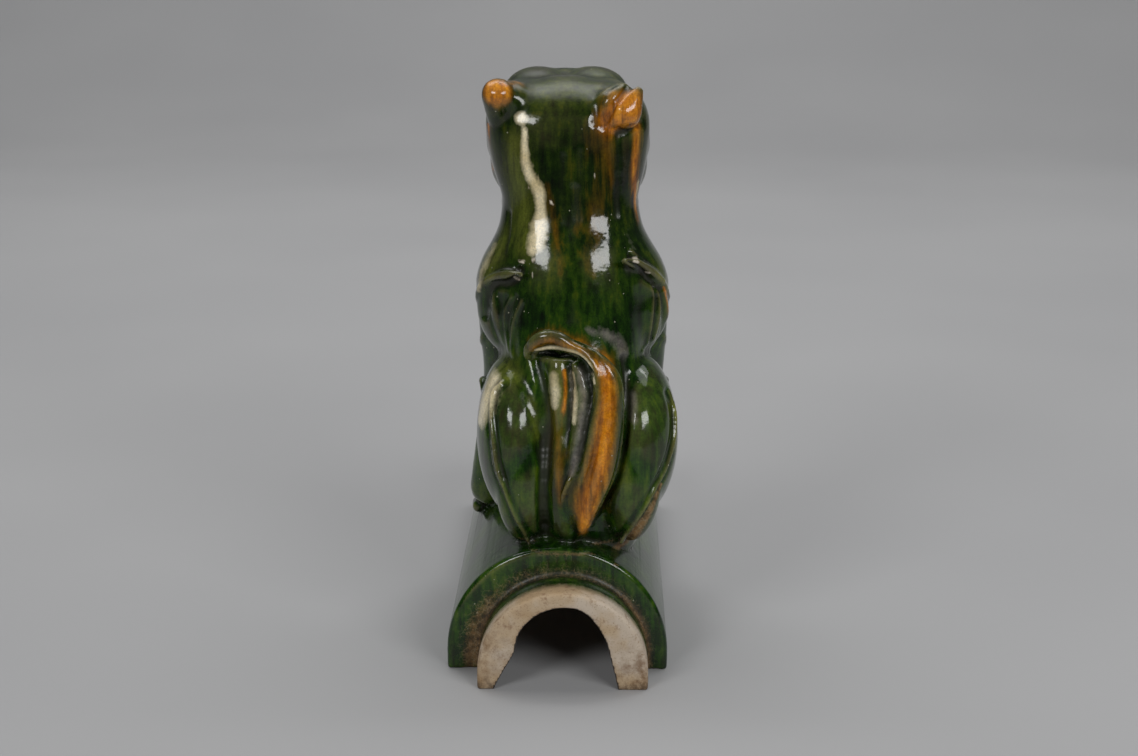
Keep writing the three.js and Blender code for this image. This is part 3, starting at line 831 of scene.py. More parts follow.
def near_line(own, line, width):
    """How near points are to a line in x and z: 1 on it, fading over its widths."""
    samples = smooth_line(line, max(12, 6 * len(line)))
    widths = np.interp(np.linspace(0, 1, len(samples)), np.linspace(0, 1, len(width)), width)
    reach = 3 * widths.max()
    low, high = samples.min(0) - reach, samples.max(0) + reach
    inside = np.where((own[:, 0] > low[0]) & (own[:, 0] < high[0]) & (own[:, 2] > low[1])
                      & (own[:, 2] < high[1]))[0]
    weight = np.zeros(len(own))
    best = np.zeros(len(inside))
    place = own[inside][:, (0, 2)]
    for a, b, w in zip(samples[:-1], samples[1:], widths):
        step = b - a
        t = np.clip(((place - a) @ step) / max(step @ step, 1e-9), 0, 1)
        far = np.linalg.norm(place - a - t[:, None] * step, axis=1)
        best = np.maximum(best, np.exp(-(far / w) ** 2))
    weight[inside] = best
    return weight


def faces_back(normals, sharp=0.25):
    return np.clip(-normals[:, 1] / sharp, 0, 1)


BACK_DEPTH = 34  # what lies deeper is not the back


def tool_lines(piece, lines):
    """Each line: points in x and z, width, height (negative presses in)."""
    points = points_of(piece)
    normals = normals_of(piece)
    own = own_measure(points)
    near = faces_back(normals) * (own[:, 1] < BACK_DEPTH)
    move = np.zeros(len(points))
    for line, width, height in lines:
        move += near_line(own, line, width) * height
    points += normals * (move * near * HUNDREDTH)[:, None]
    set_points(piece, points)


BACK_LINES = [
    ([(1.0, 76), (0.6, 68.2), (-0.2, 62.7), (0.1, 57), (0, 50)], [1.2, 1.8, 2.2, 2.4, 2.0], -0.28),
    ([(-1.2, 83), (-1.5, 75.4), (-1.3, 69)], [0.9, 1.1, 0.9], -0.14),
    ([(2.3, 84), (2.0, 75.4), (1.9, 70)], [0.9, 1.1, 0.9], -0.16),
    ([(10.6, 88.6), (10.5, 82), (10.2, 76), (9.8, 70)], [0.7, 0.9, 0.8], -0.4),
    ([(-11.2, 59.4), (-13.6, 56.2), (-17.2, 55.0), (-19.0, 51.6), (-19.6, 47.6)], [0.6, 0.9, 1.0, 0.9], -1.0),
    ([(12.4, 61.8), (14.6, 59.0), (16.8, 56.1), (19.2, 53.6)], [0.4, 0.5, 0.5, 0.4], -1.1),
    ([(12.6, 62.8), (14.3, 61.0), (17.1, 58.2), (19.9, 55.3)], [0.4, 0.5, 0.5, 0.4], 0.45),
    ([(-13.0, 53.5), (-14.4, 50.7), (-14.9, 47.9), (-14.5, 44.7), (-14, 41.4)], [0.35], 0.4),
    ([(-12.2, 53.3), (-13.6, 50.5), (-14.1, 47.7), (-13.9, 44.7), (-13.5, 41.4)], [0.6], -0.2),
    ([(-10.8, 53), (-12.1, 50.2), (-13.1, 46.8), (-13.5, 43.5), (-13.3, 40.9)], [0.35], 0.4),
    ([(-10.0, 52.8), (-11.3, 50.0), (-12.3, 46.8), (-12.7, 43.5), (-12.6, 41.0)], [0.7], -0.15),
    ([(-17.6, 53.1), (-16.8, 49.4), (-15.9, 45.6), (-15.2, 42.4)], [0.45], 0.25),
    ([(-16.2, 53.6), (-15.6, 49.6), (-15.3, 45.6)], [0.6], -0.2),
    ([(-18.6, 50.4), (-17.8, 46.6), (-16.6, 42.6)], [0.5], -0.35),
    ([(17.1, 55.5), (17.4, 52.3), (17, 47.4), (16.3, 42.8), (14.9, 40.7)], [0.35], 0.4),
    ([(18.4, 54.2), (18.8, 50.8), (18.4, 46.6), (17.4, 42.4)], [0.35], 0.4),
    ([(17.8, 54.8), (18.1, 51.5), (17.7, 47), (16.9, 42.6)], [0.4], -0.45),
    ([(19.8, 53), (20.6, 49.6), (20.9, 45.8)], [0.4], 0.4),
    ([(19.2, 52.8), (19.9, 49.6), (19.9, 45.2), (19.1, 41.7), (17.4, 38.6)], [0.45], -0.6),
    ([(12.8, 97.6), (11.4, 95.6), (10.0, 93.8), (8.8, 91.6), (7.4, 89.2)], [0.5], -0.5),
    ([(11.0, 98.6), (8.8, 97.1), (7.4, 95.3), (6.2, 93.0), (5.7, 90.0)], [0.7], -0.35),
    ([(-13.2, 70.6), (-13.6, 66.4), (-14.4, 62.4)], [0.4], -0.35),
    ([(11.2, 88.4), (13.4, 89.0), (15.4, 89.2)], [0.9], -0.7),
]
LEFT_CREST = [(-15.6, 35.6), (-17.4, 33.6), (-18.0, 30.1), (-17.6, 24.4), (-16.8, 18.3), (-15.0, 13.0),
              (-12.9, 7.5), (-11.0, 3.4)]
RIGHT_CREST = [(20.6, 32.4), (21.7, 29), (21.9, 26), (21.3, 22.2), (19.3, 17.0), (16.6, 12.8), (14.2, 8.8),
               (11.4, 4.0), (9.8, 1.2)]
LEFT_VALLEY = [(-8.6, 41.4), (-7.6, 38.4), (-6.5, 33.9), (-5.7, 27.7), (-6.7, 18.3), (-7.2, 12), (-6.9, 5)]
RIGHT_VALLEY = [(10.6, 41), (11.2, 35.4), (10.9, 29), (9.9, 22), (8.6, 16.6), (6.2, 11.4), (3.4, 5.4)]
UNDER_TAIL = [(-8.6, 42.6), (-5.2, 42.9), (-2.1, 42.9), (0.7, 42.3), (2.8, 40)]
BESIDE_TAIL = [(2.6, 39), (3.5, 34.5), (2.0, 28.6), (0.8, 23.4), (-1.2, 17.6)]
HAUNCH_LINES = [
    (LEFT_CREST, [0.25, 0.34, 0.34, 0.3], 0.55),
    ([(x - 0.9, z) for x, z in LEFT_CREST], [0.4], -0.4),
    ([(x + 0.9, z) for x, z in LEFT_CREST], [0.5], -0.3),
    (RIGHT_CREST, [0.25, 0.34, 0.34, 0.3], 0.55),
    ([(x + 0.8, z - 0.5) for x, z in RIGHT_CREST], [0.5], -0.6),
    ([(x - 0.9, z + 0.4) for x, z in RIGHT_CREST], [0.5], -0.3),
    (LEFT_VALLEY, [1.1], -0.9),
    (UNDER_TAIL, [0.7], -2.4),
    (BESIDE_TAIL, [0.6], -0.6),
    (RIGHT_VALLEY, [0.8], -0.8),
]
tool_lines(figure, BACK_LINES + HAUNCH_LINES)
smooth(figure, 3)

# The valley left of the rump and the gap left of the tail were drawn down with a wet finger.
own = own_measure(points_of(figure))
wet = np.maximum(near_line(own, LEFT_VALLEY, [1.3]), near_line(own, BESIDE_TAIL, [0.9]))
smooth_where(figure, "finger", wet * faces_back(normals_of(figure)) * (own[:, 1] < BACK_DEPTH), 14)
print("lines", len(BACK_LINES) + len(HAUNCH_LINES))

# %% [markdown]
# ## Under the limit
# The fine skin has far more faces than the part needs. Decimate keeps them where the form bends
# and thins them where the tile is plain.

# %% Thin the mesh
MOST_TRIANGLES = 192000


def triangles_of(piece):
    piece.data.calc_loop_triangles()
    return len(piece.data.loop_triangles)


full = triangles_of(figure)
thin = figure.modifiers.new("thin", "DECIMATE")
thin.ratio = min(1, MOST_TRIANGLES / full)
apply_modifiers(figure)
bpy.ops.object.shade_smooth()
print("triangles", full, "->", triangles_of(figure))

# %% [markdown]
# ## Where the colours lie
# The glazes were splashed on and ran down in the kiln. Each colour is a named value on the points
# of the mesh, so that it stays where it ran from every side. Glaze also thins on ridges, where the
# pale body shows through, and pools dark in grooves. That is measured from the form itself: how
# far a point stands out from the average of its neighbours.

# %% Ridge and groove
def neighbour_mean(values, edges, rounds):
    a, b = edges.T
    count = np.bincount(a, minlength=len(values)) + np.bincount(b, minlength=len(values))
    for _ in range(rounds):
        total = np.column_stack([
            np.bincount(a, values[b, k], len(values)) + np.bincount(b, values[a, k], len(values))
            for k in range(values.shape[1])
        ])
        values = 0.5 * values + 0.5 * total / count[:, None]
    return values


points = points_of(figure)
normals = normals_of(figure)
own = own_measure(points)
edges = np.empty(len(figure.data.edges) * 2, np.int32)
figure.data.edges.foreach_get("vertices", edges)
edges = edges.reshape(-1, 2)
WIDE, NARROW = 14, 2  # rounds of averaging
relief = ((points - neighbour_mean(points, edges, WIDE)) * normals).sum(1)
relief = neighbour_mean(relief[:, None], edges, NARROW)[:, 0]
print("relief in mm, low and high:", (np.percentile(relief, [2, 50, 98]) * 1000).round(3))

# %% Brushes for the colours
BACK = faces_back(normals, 0.35)
WRAP_FADE = 8


def stroke(line, width, strength=1.0, wrap=None):
    """A line of colour seen from behind; one that wraps goes round the side and fades at that depth."""
    facing = BACK if wrap is None else np.clip((wrap - own[:, 1]) / WRAP_FADE, 0, 1)
    return near_line(own, line, width) * facing * strength


def around(centre, radius, strength=1.0):
    """A soft ball of colour at a place on the beast."""
    far = np.linalg.norm(own - np.array(centre), axis=1) / radius
    return np.exp(-far ** 4) * strength


def together(marks):
    """Marks laid one over another, never stronger than 1."""
    total = np.zeros(len(own))
    for mark in marks:
        total = 1 - (1 - total) * (1 - np.clip(mark, 0, 1))
    return total


print("points that face back", int((BACK > 0.5).sum()))

# %% Amber
# It lies on both ears and runs down the neck, the right cheek and the tail.
amber = together([
    around((13.0, 18.4, 93.2), 5.4),
    around((9.2, 18.4, 90.4), 3.4, 0.9),
    around((-14.8, 20.0, 96.8), 4.2),
    around((-11.0, 25.0, 98.0), 3.0, 0.6),
    stroke([(8.6, 96), (6.8, 93), (6.2, 89), (6.2, 84), (5.8, 79), (5.0, 73), (4.4, 66), (4.2, 60)],
           [1.6, 2.4, 3.8, 4.8, 5.2, 5.0, 4.0, 2.4], 0.46),
    stroke([(8.6, 91), (8.3, 87), (8.6, 82), (9.0, 77)], [1.2, 1.1, 0.9, 0.7], 0.3),
    stroke([(14.8, 89), (14.4, 84), (14.0, 79.6), (14.2, 73), (15.0, 68)], [1.2, 1.4, 1.2, 0.8], 0.85),
    stroke([(-17.2, 89), (-17.4, 83), (-16.7, 78)], [0.7], 0.9),
    stroke([(-4.6, 77), (-4.0, 72), (-3.0, 65), (-2.6, 59)], [1.2, 1.8, 1.6, 1.0], 0.5),
    stroke([(-8.9, 44.6), (-6.2, 46.6), (-2.6, 46.2), (1.6, 44.6), (5, 42)], [1.6, 1.8, 1.8, 2.0], 0.66),
    stroke([(6.6, 40), (6.9, 34.6), (5.9, 26), (4.4, 18.6), (2.4, 12), (1.5, 4)],
           [2.6, 3.2, 3.6, 4.2, 3.6, 1.2], 0.95),
    stroke([(-2.2, 39.6), (-2.0, 35), (-2.4, 31)], [0.7], 0.9),
    stroke([(-4.8, 34), (-4.2, 27), (-3.8, 20), (-3.6, 12)], [1.4, 2.6, 3.0, 2.0], 0.54),
    stroke([(19.9, 54), (21.0, 50), (21.3, 45.8)], [0.5], 0.9),
    around((0, 56, 80), 6.0, 0.8) * (normals[:, 2] > -0.5),
    around((9, 45, 80), 4.0, 0.5),
    around((-9, 45, 80), 4.0, 0.5),
    around((0, 48, 40), 7.0, 0.5),
])
print("amber", amber.mean().round(3))

# %% Cream and pale olive
# Cream was splashed on behind the left ear, the left shoulder and the left haunch. Around it, and
# where the glaze is thin, the green turns olive. The pale band over the top of the head is painted
# sheen.
cream = together([
    stroke([(-9.2, 88.6), (-9.4, 85.8), (-9.3, 81.8), (-8.3, 78.5), (-6.9, 76.4), (-6.4, 72.8), (-6.6, 70.0)],
           [0.7, 0.9, 1.1, 1.2, 1.5, 1.3, 1.2]),
    stroke([(-6.6, 70.0), (-6.9, 67.4), (-7.5, 65.6), (-8.6, 63.4)], [1.2, 2.2, 2.2, 1.1], 0.95),
    stroke([(-16.6, 63.5), (-18.9, 59.8), (-20.4, 56.4), (-20.8, 53.0)], [0.7, 1.1, 1.2, 0.8], wrap=28),
    stroke([(-18.0, 35.8), (-19.4, 32.8), (-20.4, 29.8), (-21.0, 26.0)], [2.4, 3.2, 2.6, 1.2], wrap=21),
    stroke([(-4.4, 38.6), (-4.2, 35), (-4.4, 32)], [1.2, 1.5, 0.9], 0.75),
    stroke([(-0.6, 39), (-0.2, 34), (-0.4, 29)], [0.7, 0.9, 0.6], 0.9),
    stroke([(-8.0, 44.2), (-4.8, 45.1), (-1.6, 44.7), (1.0, 43.8), (3.2, 41.6), (4.0, 38)],
           [0.5, 0.6, 0.5, 0.4], 0.9),
    stroke([(14.8, 77), (14.6, 72), (15.2, 68)], [0.5], 0.7),
    around((-10, 20, 91), 1.8, 0.8),
])
pale_and_sheen = together([
    stroke([(-11.4, 86), (-11.2, 80), (-10.2, 74.6), (-9.6, 69), (-10.4, 63.6)],
           [1.8, 2.6, 2.8, 2.6, 1.8], 0.75),
    stroke([(-14.6, 66.4), (-17.0, 61.6), (-19.0, 57)], [1.6, 2.2, 1.6], 0.8, wrap=28),
    stroke([(-18.6, 36.0), (-15.8, 38.2), (-13.0, 37.2)], [2.2, 2.8, 2.0], wrap=22),
    stroke([(-9.6, 33), (-8.8, 29), (-8.4, 25)], [0.9, 1.2, 0.9], 0.7),
    stroke([(-3.6, 39), (-3.8, 32), (-4.2, 24)], [1.8, 2.2, 1.8], 0.7),
    stroke([(19.0, 57.6), (20.8, 53.4), (21.4, 48.6)], [0.9, 1.2, 0.9], 0.8, wrap=28),
    stroke([(21.0, 30), (22.2, 26), (21.8, 20)], [0.8, 1.2, 0.8], 0.8, wrap=22),
    # Painted sheen: the soft reflection of the light above, over the top of the head.
    stroke([(-6, 96), (0, 97), (7, 96)], [3.2], 0.35),
])
print("cream", cream.mean().round(3), "pale_and_sheen", pale_and_sheen.mean().round(3))

# %% Chips, painted sheen, haze and dirt
# Small chips show the clay. The milky marks are painted sheen: pale reflections on the right haunch,
# the right of the neck and the left pad, and painted mauve-grey shade on the web left of the tail.
# Dust dulls the top of the head and soil clings in the corners.
chip_places = [(-10.9, 61.0), (-8.1, 61.6), (-8.7, 58.6), (-11.9, 57.4), (13.6, 61.2), (16.2, 58.2),
               (5.3, 79.4), (-4.0, 73.4), (-8.8, 76.2)]
chips = together([stroke([(x - 0.35, z + 0.1), (x + 0.35, z - 0.1)], [0.42]) for x, z in chip_places])
# Painted sheen and shade: pale reflections on the glaze, and mauve-grey shade on the web left of the tail.
painted_sheen = together([
    stroke([(3.0, 47.4), (6.4, 46.6), (9.0, 44.6), (10.6, 41.4)], [1.0, 1.5, 1.7, 1.4], 0.7),
    stroke([(12.2, 33.4), (12.4, 29)], [1.2], 0.75),
    stroke([(12.2, 66.6), (13.2, 62.6), (14.8, 58.4)], [1.2], 0.3),
    stroke([(-11.2, 34.5), (-10.8, 30)], [0.8], 0.35),
    stroke([(1.2, 40), (1.9, 35), (1.3, 29), (0.3, 23), (-1.0, 18)], [1.2, 1.6, 1.5, 1.2, 0.8], 0.8),
])
faces_up = np.clip((normals[:, 2] - 0.25) / 0.4, 0, 1)
head_top = np.clip((own[:, 2] - 89) / 8, 0, 1)
haze = faces_up * head_top * (1 - 0.6 * amber)
dirt = together([
    stroke([(18.4, 13.4), (16.2, 9.0), (13.8, 5.0), (12.0, 1.6), (10.4, -0.6)],
           [0.5, 0.8, 1.2, 1.5, 1.2], 0.95),
    stroke([(11.6, -0.6), (9.0, -1.8)], [1.3], 0.7),
    stroke([(-12.4, 2.2), (-7, 0.4), (0, 0.2), (8, 0.4)], [0.55], 0.55),
])
print("painted_sheen", painted_sheen.mean().round(3), "haze", haze.mean().round(3), "dirt", dirt.mean().round(3))

# %% Bare clay
# The spigot was wiped clean of glaze over its outer half, and the ends and the inside of the tile
# stayed bare.
X, Y, Z = points.T
edge_wave = 0.0016 * np.sin(90 * X + 1.3) + 0.0009 * np.sin(260 * X + 4)
GLAZED = 0.0110  # how much of the spigot the glaze still covers
on_spigot = np.clip((SHOULDER_Y - GLAZED + edge_wave - Y) / 0.0012, 0, 1)
from_axis = np.hypot(X, np.maximum(Z - TILE_SKIRT, 0))
inward = -(normals[:, 0] * X + normals[:, 2] * np.maximum(Z - TILE_SKIRT, 0)) / np.maximum(from_axis, 1e-5)
inside_tile = (from_axis < CHANNEL_RADIUS + 0.003) * np.clip((inward - 0.3) / 0.2, 0, 1) * (Z < 0.058)
inside_spigot = inside_tile * (Y < CHANNEL_START)
underneath = np.clip((-normals[:, 2] - 0.6) / 0.3, 0, 1) * (Z < 0.002)
far_end = np.clip((Y - TILE_LENGTH / 2 + 0.0015) / 0.001, 0, 1)
clay = together([on_spigot, inside_tile, underneath, far_end])
corner = np.exp(-((Y - SHOULDER_Y + 0.001) / 0.0042) ** 2) * np.clip((0.0545 - from_axis) / 0.006, 0, 1)
lower_sides = np.clip((np.abs(X) - 0.030) / 0.02, 0, 1)
dirt = together([dirt, corner * (0.40 + 0.42 * lower_sides) * (1 - inside_spigot)])
# Grime in the corner at the shoulder, darker towards the bottom of the spigot, and painted shade all through
# the inside of the spigot.
grime_and_shade = together([
    np.exp(-((Y - SHOULDER_Y + 0.001) / 0.0030) ** 2) * (from_axis < 0.050) * (Z > 0.002) * 0.8,
    np.clip((0.0085 - Z) / 0.006, 0, 1) * (Y < CHANNEL_START) * 0.5,
    inside_spigot * 0.9,
])
SPOT = 0.012
right_spot = np.exp(-(np.hypot(X - 0.042, Z - 0.012) / SPOT) ** 2)
left_spot = np.exp(-(np.hypot(X + 0.035, Z - 0.022) / SPOT) ** 2)
feet = np.clip((SPOT - Z) / SPOT, 0, 1)
stain = np.clip((right_spot + 0.8 * left_spot + 0.6 * feet) * (Y < SHOULDER_Y), 0, 1)
haze = np.maximum(haze, 0.18 * (np.abs(Y - SHOULDER_Y - 0.004) < 0.008) * (from_axis > 0.050))
print("clay", clay.mean().round(3), "grime_and_shade", grime_and_shade.mean().round(3), "stain", stain.mean().round(3))

# %% Write the values
def keep_value(name, values):
    attribute = figure.data.attributes.new(name, "FLOAT", "POINT")
    attribute.data.foreach_set("value", np.asarray(values, np.float32))


on_beast = np.clip((own[:, 2] + 1.5 + own[:, 0] ** 2 / 60) / 2, 0, 1)
on_barrel = (np.abs(from_axis - TILE_RADIUS) < 0.0016) & (Y > SHOULDER_Y)
ridge = np.clip((relief - 0.00012) / 0.00042, 0, 1) * (0.12 + 0.88 * on_beast) * (1 - on_barrel)
groove = np.clip(-relief / 0.00045, 0, 1) * (1 - 0.6 * on_barrel)
crest_lines = together([stroke(crest, [0.3, 0.42, 0.4, 0.3], 0.9) for crest in (LEFT_CREST, RIGHT_CREST)])
ridge = np.maximum(ridge, crest_lines)
for name, values in {
    "amber": amber, "cream": cream, "pale_and_sheen": pale_and_sheen, "haze": haze, "chips": chips, "painted_sheen": painted_sheen, "dirt": dirt,
    "clay": clay, "grime_and_shade": grime_and_shade, "stain": stain, "ridge": ridge, "groove": groove,
}.items():
    keep_value(name, values)
print("named values", sum(attribute.data_type == "FLOAT" for attribute in figure.data.attributes))

# %% [markdown]
# ## The glaze
# Lead glaze is a thin layer of coloured glass: deep green where it is thick, olive and yellow where
# it is thin, very glossy, and a little uneven. Noise drawn out along Z gives the runs, fine noise
# the speckle, and the named values mix in the other colours. Bare clay is mixed in last, matt and
# grainy.

# %% Node helpers
def new_material(name):
    material = bpy.data.materials.new(name)
    material.use_nodes = True
    material.node_tree.nodes.clear()
    return material, material.node_tree


def add(tree, kind, inputs=None, **settings):
    node = tree.nodes.new(kind)
    for key, value in settings.items():
        setattr(node, key, value)
    for key, value in (inputs or {}).items():
        if isinstance(value, bpy.types.NodeSocket):
            tree.links.new(value, node.inputs[key])
        else:
            node.inputs[key].default_value = value
    return node


def noise(tree, place, scale, detail, rough=0.55, stretch=None):
    if stretch:
        place = add(tree, "ShaderNodeMapping", {"Vector": place, "Scale": stretch}).outputs[0]
    return add(tree, "ShaderNodeTexNoise",
               {"Vector": place, "Scale": scale, "Detail": detail, "Roughness": rough}).outputs[0]


def ramp(tree, value, stops):
    node = add(tree, "ShaderNodeValToRGB", {"Fac": value})
    for _ in stops[2:]:
        node.color_ramp.elements.new(0.5)
    for element, (position, colour) in zip(node.color_ramp.elements, stops):
        element.position = position
        element.color = (*colour, 1)
    return node.outputs[0]


def mix(tree, factor, a, b, mode="MIX"):
    node = add(tree, "ShaderNodeMix", data_type="RGBA", blend_type=mode)
    for socket, value in ((node.inputs[0], factor), (node.inputs[6], a), (node.inputs[7], b)):
        if isinstance(value, bpy.types.NodeSocket):
            tree.links.new(value, socket)
        elif isinstance(value, (int, float)):
            socket.default_value = value
        else:
            socket.default_value = (*value, 1)
    return node.outputs[2]


def maths(tree, operation, a, b, c=0.0, clamp=False):
    """One sum on sockets or numbers."""
    node = add(tree, "ShaderNodeMath", operation=operation, use_clamp=clamp)
    for socket, value in zip(node.inputs, (a, b, c)):
        if isinstance(value, bpy.types.NodeSocket):
            tree.links.new(value, socket)
        else:
            socket.default_value = value
    return node.outputs[0]


def times(tree, a, b, clamp=False):
    return maths(tree, "MULTIPLY", a, b, clamp=clamp)


def gained(tree, value, gain, plus, clamp=False):
    return maths(tree, "MULTIPLY_ADD", value, gain, plus, clamp=clamp)


def value_of(tree, name):
    return add(tree, "ShaderNodeAttribute", attribute_name=name).outputs["Fac"]


def torn(tree, mask, tear, amount=0.5, steep=2.2):
    """A mask with its edge torn by a noise, so that colours do not meet along a soft blur."""
    pushed = gained(tree, maths(tree, "SUBTRACT", tear, 0.5), amount * 2, mask)
    gated = gained(tree, pushed, steep, 0.35 - steep / 2, clamp=True)
    return times(tree, gated, times(tree, mask, 4.0, clamp=True))


print("node helpers are ready")


# %% Noises of the glaze
glaze, tree = new_material("glaze")
place = add(tree, "ShaderNodeTexCoord").outputs["Object"]
runs = noise(tree, place, 1.0, 5, 0.6, stretch=(260, 260, 30))
broad = noise(tree, place, 38, 3)
mottle = noise(tree, place, 210, 5, 0.65)
speckle = noise(tree, place, 900, 3, 0.7)
print("nodes so far", len(tree.nodes))

# %% Green, olive, amber and cream
# The green is fresher on the tile, the haunches and the loins than above them.
FRESHER = (1.15, 1.9, 1.3)
OLIVE = (0.130, 0.150, 0.020)
THIN_AMBER = (0.045, 0.028, 0.002)
depth = gained(tree, runs, 0.42, times(tree, broad, 0.38))
depth = gained(tree, mottle, 0.20, depth)
green = ramp(tree, depth, [
    (0.38, (0.002, 0.004, 0.001)),
    (0.47, (0.005, 0.014, 0.001)),
    (0.54, (0.015, 0.030, 0.002)),
    (0.64, (0.052, 0.055, 0.003)),
])
height = add(tree, "ShaderNodeSeparateXYZ", {"Vector": place}).outputs["Z"]
low_down = gained(tree, height, -10.0, 2.5, clamp=True)
green = mix(tree, low_down, green, mix(tree, 1.0, green, FRESHER, "MULTIPLY"))
honey = ramp(tree, gained(tree, runs, 0.6, times(tree, mottle, 0.4)), [
    (0.36, (0.220, 0.062, 0.002)),
    (0.48, (0.470, 0.145, 0.004)),
    (0.62, (0.700, 0.270, 0.012)),
])
ivory = ramp(tree, broad, [(0.35, (0.58, 0.48, 0.27)), (0.6, (0.86, 0.77, 0.54))])
# Olive where the glaze is thin, and painted sheen over the top of the head.
thin = times(tree, value_of(tree, "pale_and_sheen"), gained(tree, runs, 2.0, -0.3), clamp=True)
colour = mix(tree, thin, green, OLIVE)
deep = gained(tree, value_of(tree, "amber"), 2.2, -1.0, clamp=True)
honey = mix(tree, deep, mix(tree, 0.12, THIN_AMBER, honey), honey)
colour = mix(tree, torn(tree, value_of(tree, "amber"), runs, 0.7, 1.4), colour, honey)
colour = mix(tree, torn(tree, value_of(tree, "cream"), mottle, 0.3, 1.7), colour, ivory)
print("nodes so far", len(tree.nodes))

# %% Painted sheen, ridges, grooves and flecks
SHEEN_GREY = (0.34, 0.29, 0.28)
BODY_THROUGH = (0.55, 0.46, 0.20)
POOLED = (0.012, 0.012, 0.005)
PIT = (0.42, 0.40, 0.30)
# Painted sheen: a pale veil of reflection, and mauve-grey shade beside the tail, laid into the colour.
sheen_mask = torn(tree, value_of(tree, "painted_sheen"), mottle, 0.5, 1.5)
colour = mix(tree, times(tree, sheen_mask, 0.55), colour, SHEEN_GREY)
thin_glaze = times(tree, value_of(tree, "ridge"), 0.75)
colour = mix(tree, thin_glaze, colour, mix(tree, 0.22, colour, BODY_THROUGH))
pooled = times(tree, value_of(tree, "groove"), gained(tree, deep, -0.55, 0.85))
colour = mix(tree, pooled, colour, POOLED)
fleck = ramp(tree, speckle, [(0.30, (0.72, 0.72, 0.72)), (0.5, (1, 1, 1)), (0.72, (1.25, 1.2, 1.1))])
colour = mix(tree, 1.0, colour, fleck, "MULTIPLY")
cells = add(tree, "ShaderNodeTexVoronoi", {"Vector": place, "Scale": 190, "Randomness": 1.0})
pits = maths(tree, "LESS_THAN", cells.outputs["Distance"], 0.075)
sparse = maths(tree, "GREATER_THAN", noise(tree, place, 60, 2), 0.53)
colour = mix(tree, times(tree, times(tree, pits, sparse), 0.75), colour, PIT)
print("nodes so far", len(tree.nodes))

# %% Soil and fibres
FIBRE = (0.30, 0.24, 0.14)
soil = ramp(tree, mottle, [(0.35, (0.060, 0.030, 0.010)), (0.6, (0.30, 0.165, 0.065))])
dirty = torn(tree, value_of(tree, "dirt"), speckle, 0.5)
colour = mix(tree, times(tree, dirty, 0.8), colour, soil)
web = add(tree, "ShaderNodeTexVoronoi", {"Vector": place, "Scale": 380}, feature="DISTANCE_TO_EDGE")
fibres = times(tree, maths(tree, "LESS_THAN", web.outputs["Distance"], 0.045), value_of(tree, "dirt"))
fibres = times(tree, fibres, maths(tree, "GREATER_THAN", mottle, 0.49))
colour = mix(tree, times(tree, fibres, 0.65, clamp=True), colour, FIBRE)
print("nodes so far", len(tree.nodes))

# %% Bare clay and chips
IRON = (0.20, 0.10, 0.045)
STAINED = (0.15, 0.07, 0.02)
GRIME_AND_SHADE = (0.045, 0.034, 0.026)
CHIPPED = (0.62, 0.57, 0.47)
body_clay = ramp(tree, broad, [
    (0.38, (0.43, 0.30, 0.17)),
    (0.5, (0.50, 0.38, 0.25)),
    (0.62, (0.56, 0.47, 0.37)),
])
iron = ramp(tree, noise(tree, place, 120, 5, 0.75), [(0.56, (0, 0, 0)), (0.66, (1, 1, 1))])
body_clay = mix(tree, times(tree, iron, 0.6), body_clay, IRON)
grit = ramp(tree, speckle, [(0.32, (0.55, 0.45, 0.36)), (0.44, (1, 1, 1))])
body_clay = mix(tree, 0.8, body_clay, grit, "MULTIPLY")
stained = times(tree, value_of(tree, "stain"), gained(tree, mottle, 4.0, -1.5, clamp=True))
body_clay = mix(tree, times(tree, stained, 0.85), body_clay, STAINED)
# Grime in the shoulder corner, darker towards the spigot's foot, and painted shade inside the spigot.
body_clay = mix(tree, torn(tree, value_of(tree, "grime_and_shade"), mottle, 0.4), body_clay, GRIME_AND_SHADE)
chipped = torn(tree, value_of(tree, "chips"), mottle, 0.5)
bare = maths(tree, "MAXIMUM", torn(tree, value_of(tree, "clay"), mottle, 0.12), chipped)
colour = mix(tree, bare, colour, mix(tree, chipped, body_clay, CHIPPED))
print("nodes so far", len(tree.nodes))

# %% Gloss and grain
rough = gained(tree, broad, 0.10, 0.05)
for mask, gain in ((value_of(tree, "haze"), 0.26), (dirty, 0.45), (value_of(tree, "groove"), 0.3)):
    rough = gained(tree, mask, gain, rough)
rough = gained(tree, bare, 0.8, rough, clamp=True)
bumps = add(tree, "ShaderNodeBump", {
    "Height": noise(tree, place, 160, 2), "Strength": 0.08, "Distance": 0.002,
}).outputs[0]
grain = add(tree, "ShaderNodeBump", {
    "Height": times(tree, speckle, bare), "Strength": 0.5, "Distance": 0.0006, "Normal": bumps,
}).outputs[0]
shader = add(tree, "ShaderNodeBsdfPrincipled", {
    "Base Color": colour, "Roughness": rough, "IOR": 1.48, "Normal": grain,
})
add(tree, "ShaderNodeOutputMaterial", {"Surface": shader.outputs[0]})
figure.data.materials.clear()
figure.data.materials.append(glaze)
print("glaze nodes", len(tree.nodes))

# %% [markdown]
# ## Floor and light
# The photograph was taken on a grey paper sweep, between two softboxes beside the camera, whose
# windows show in the glaze, under a broad soft light from above and behind. One more lights the
# paper's far side.

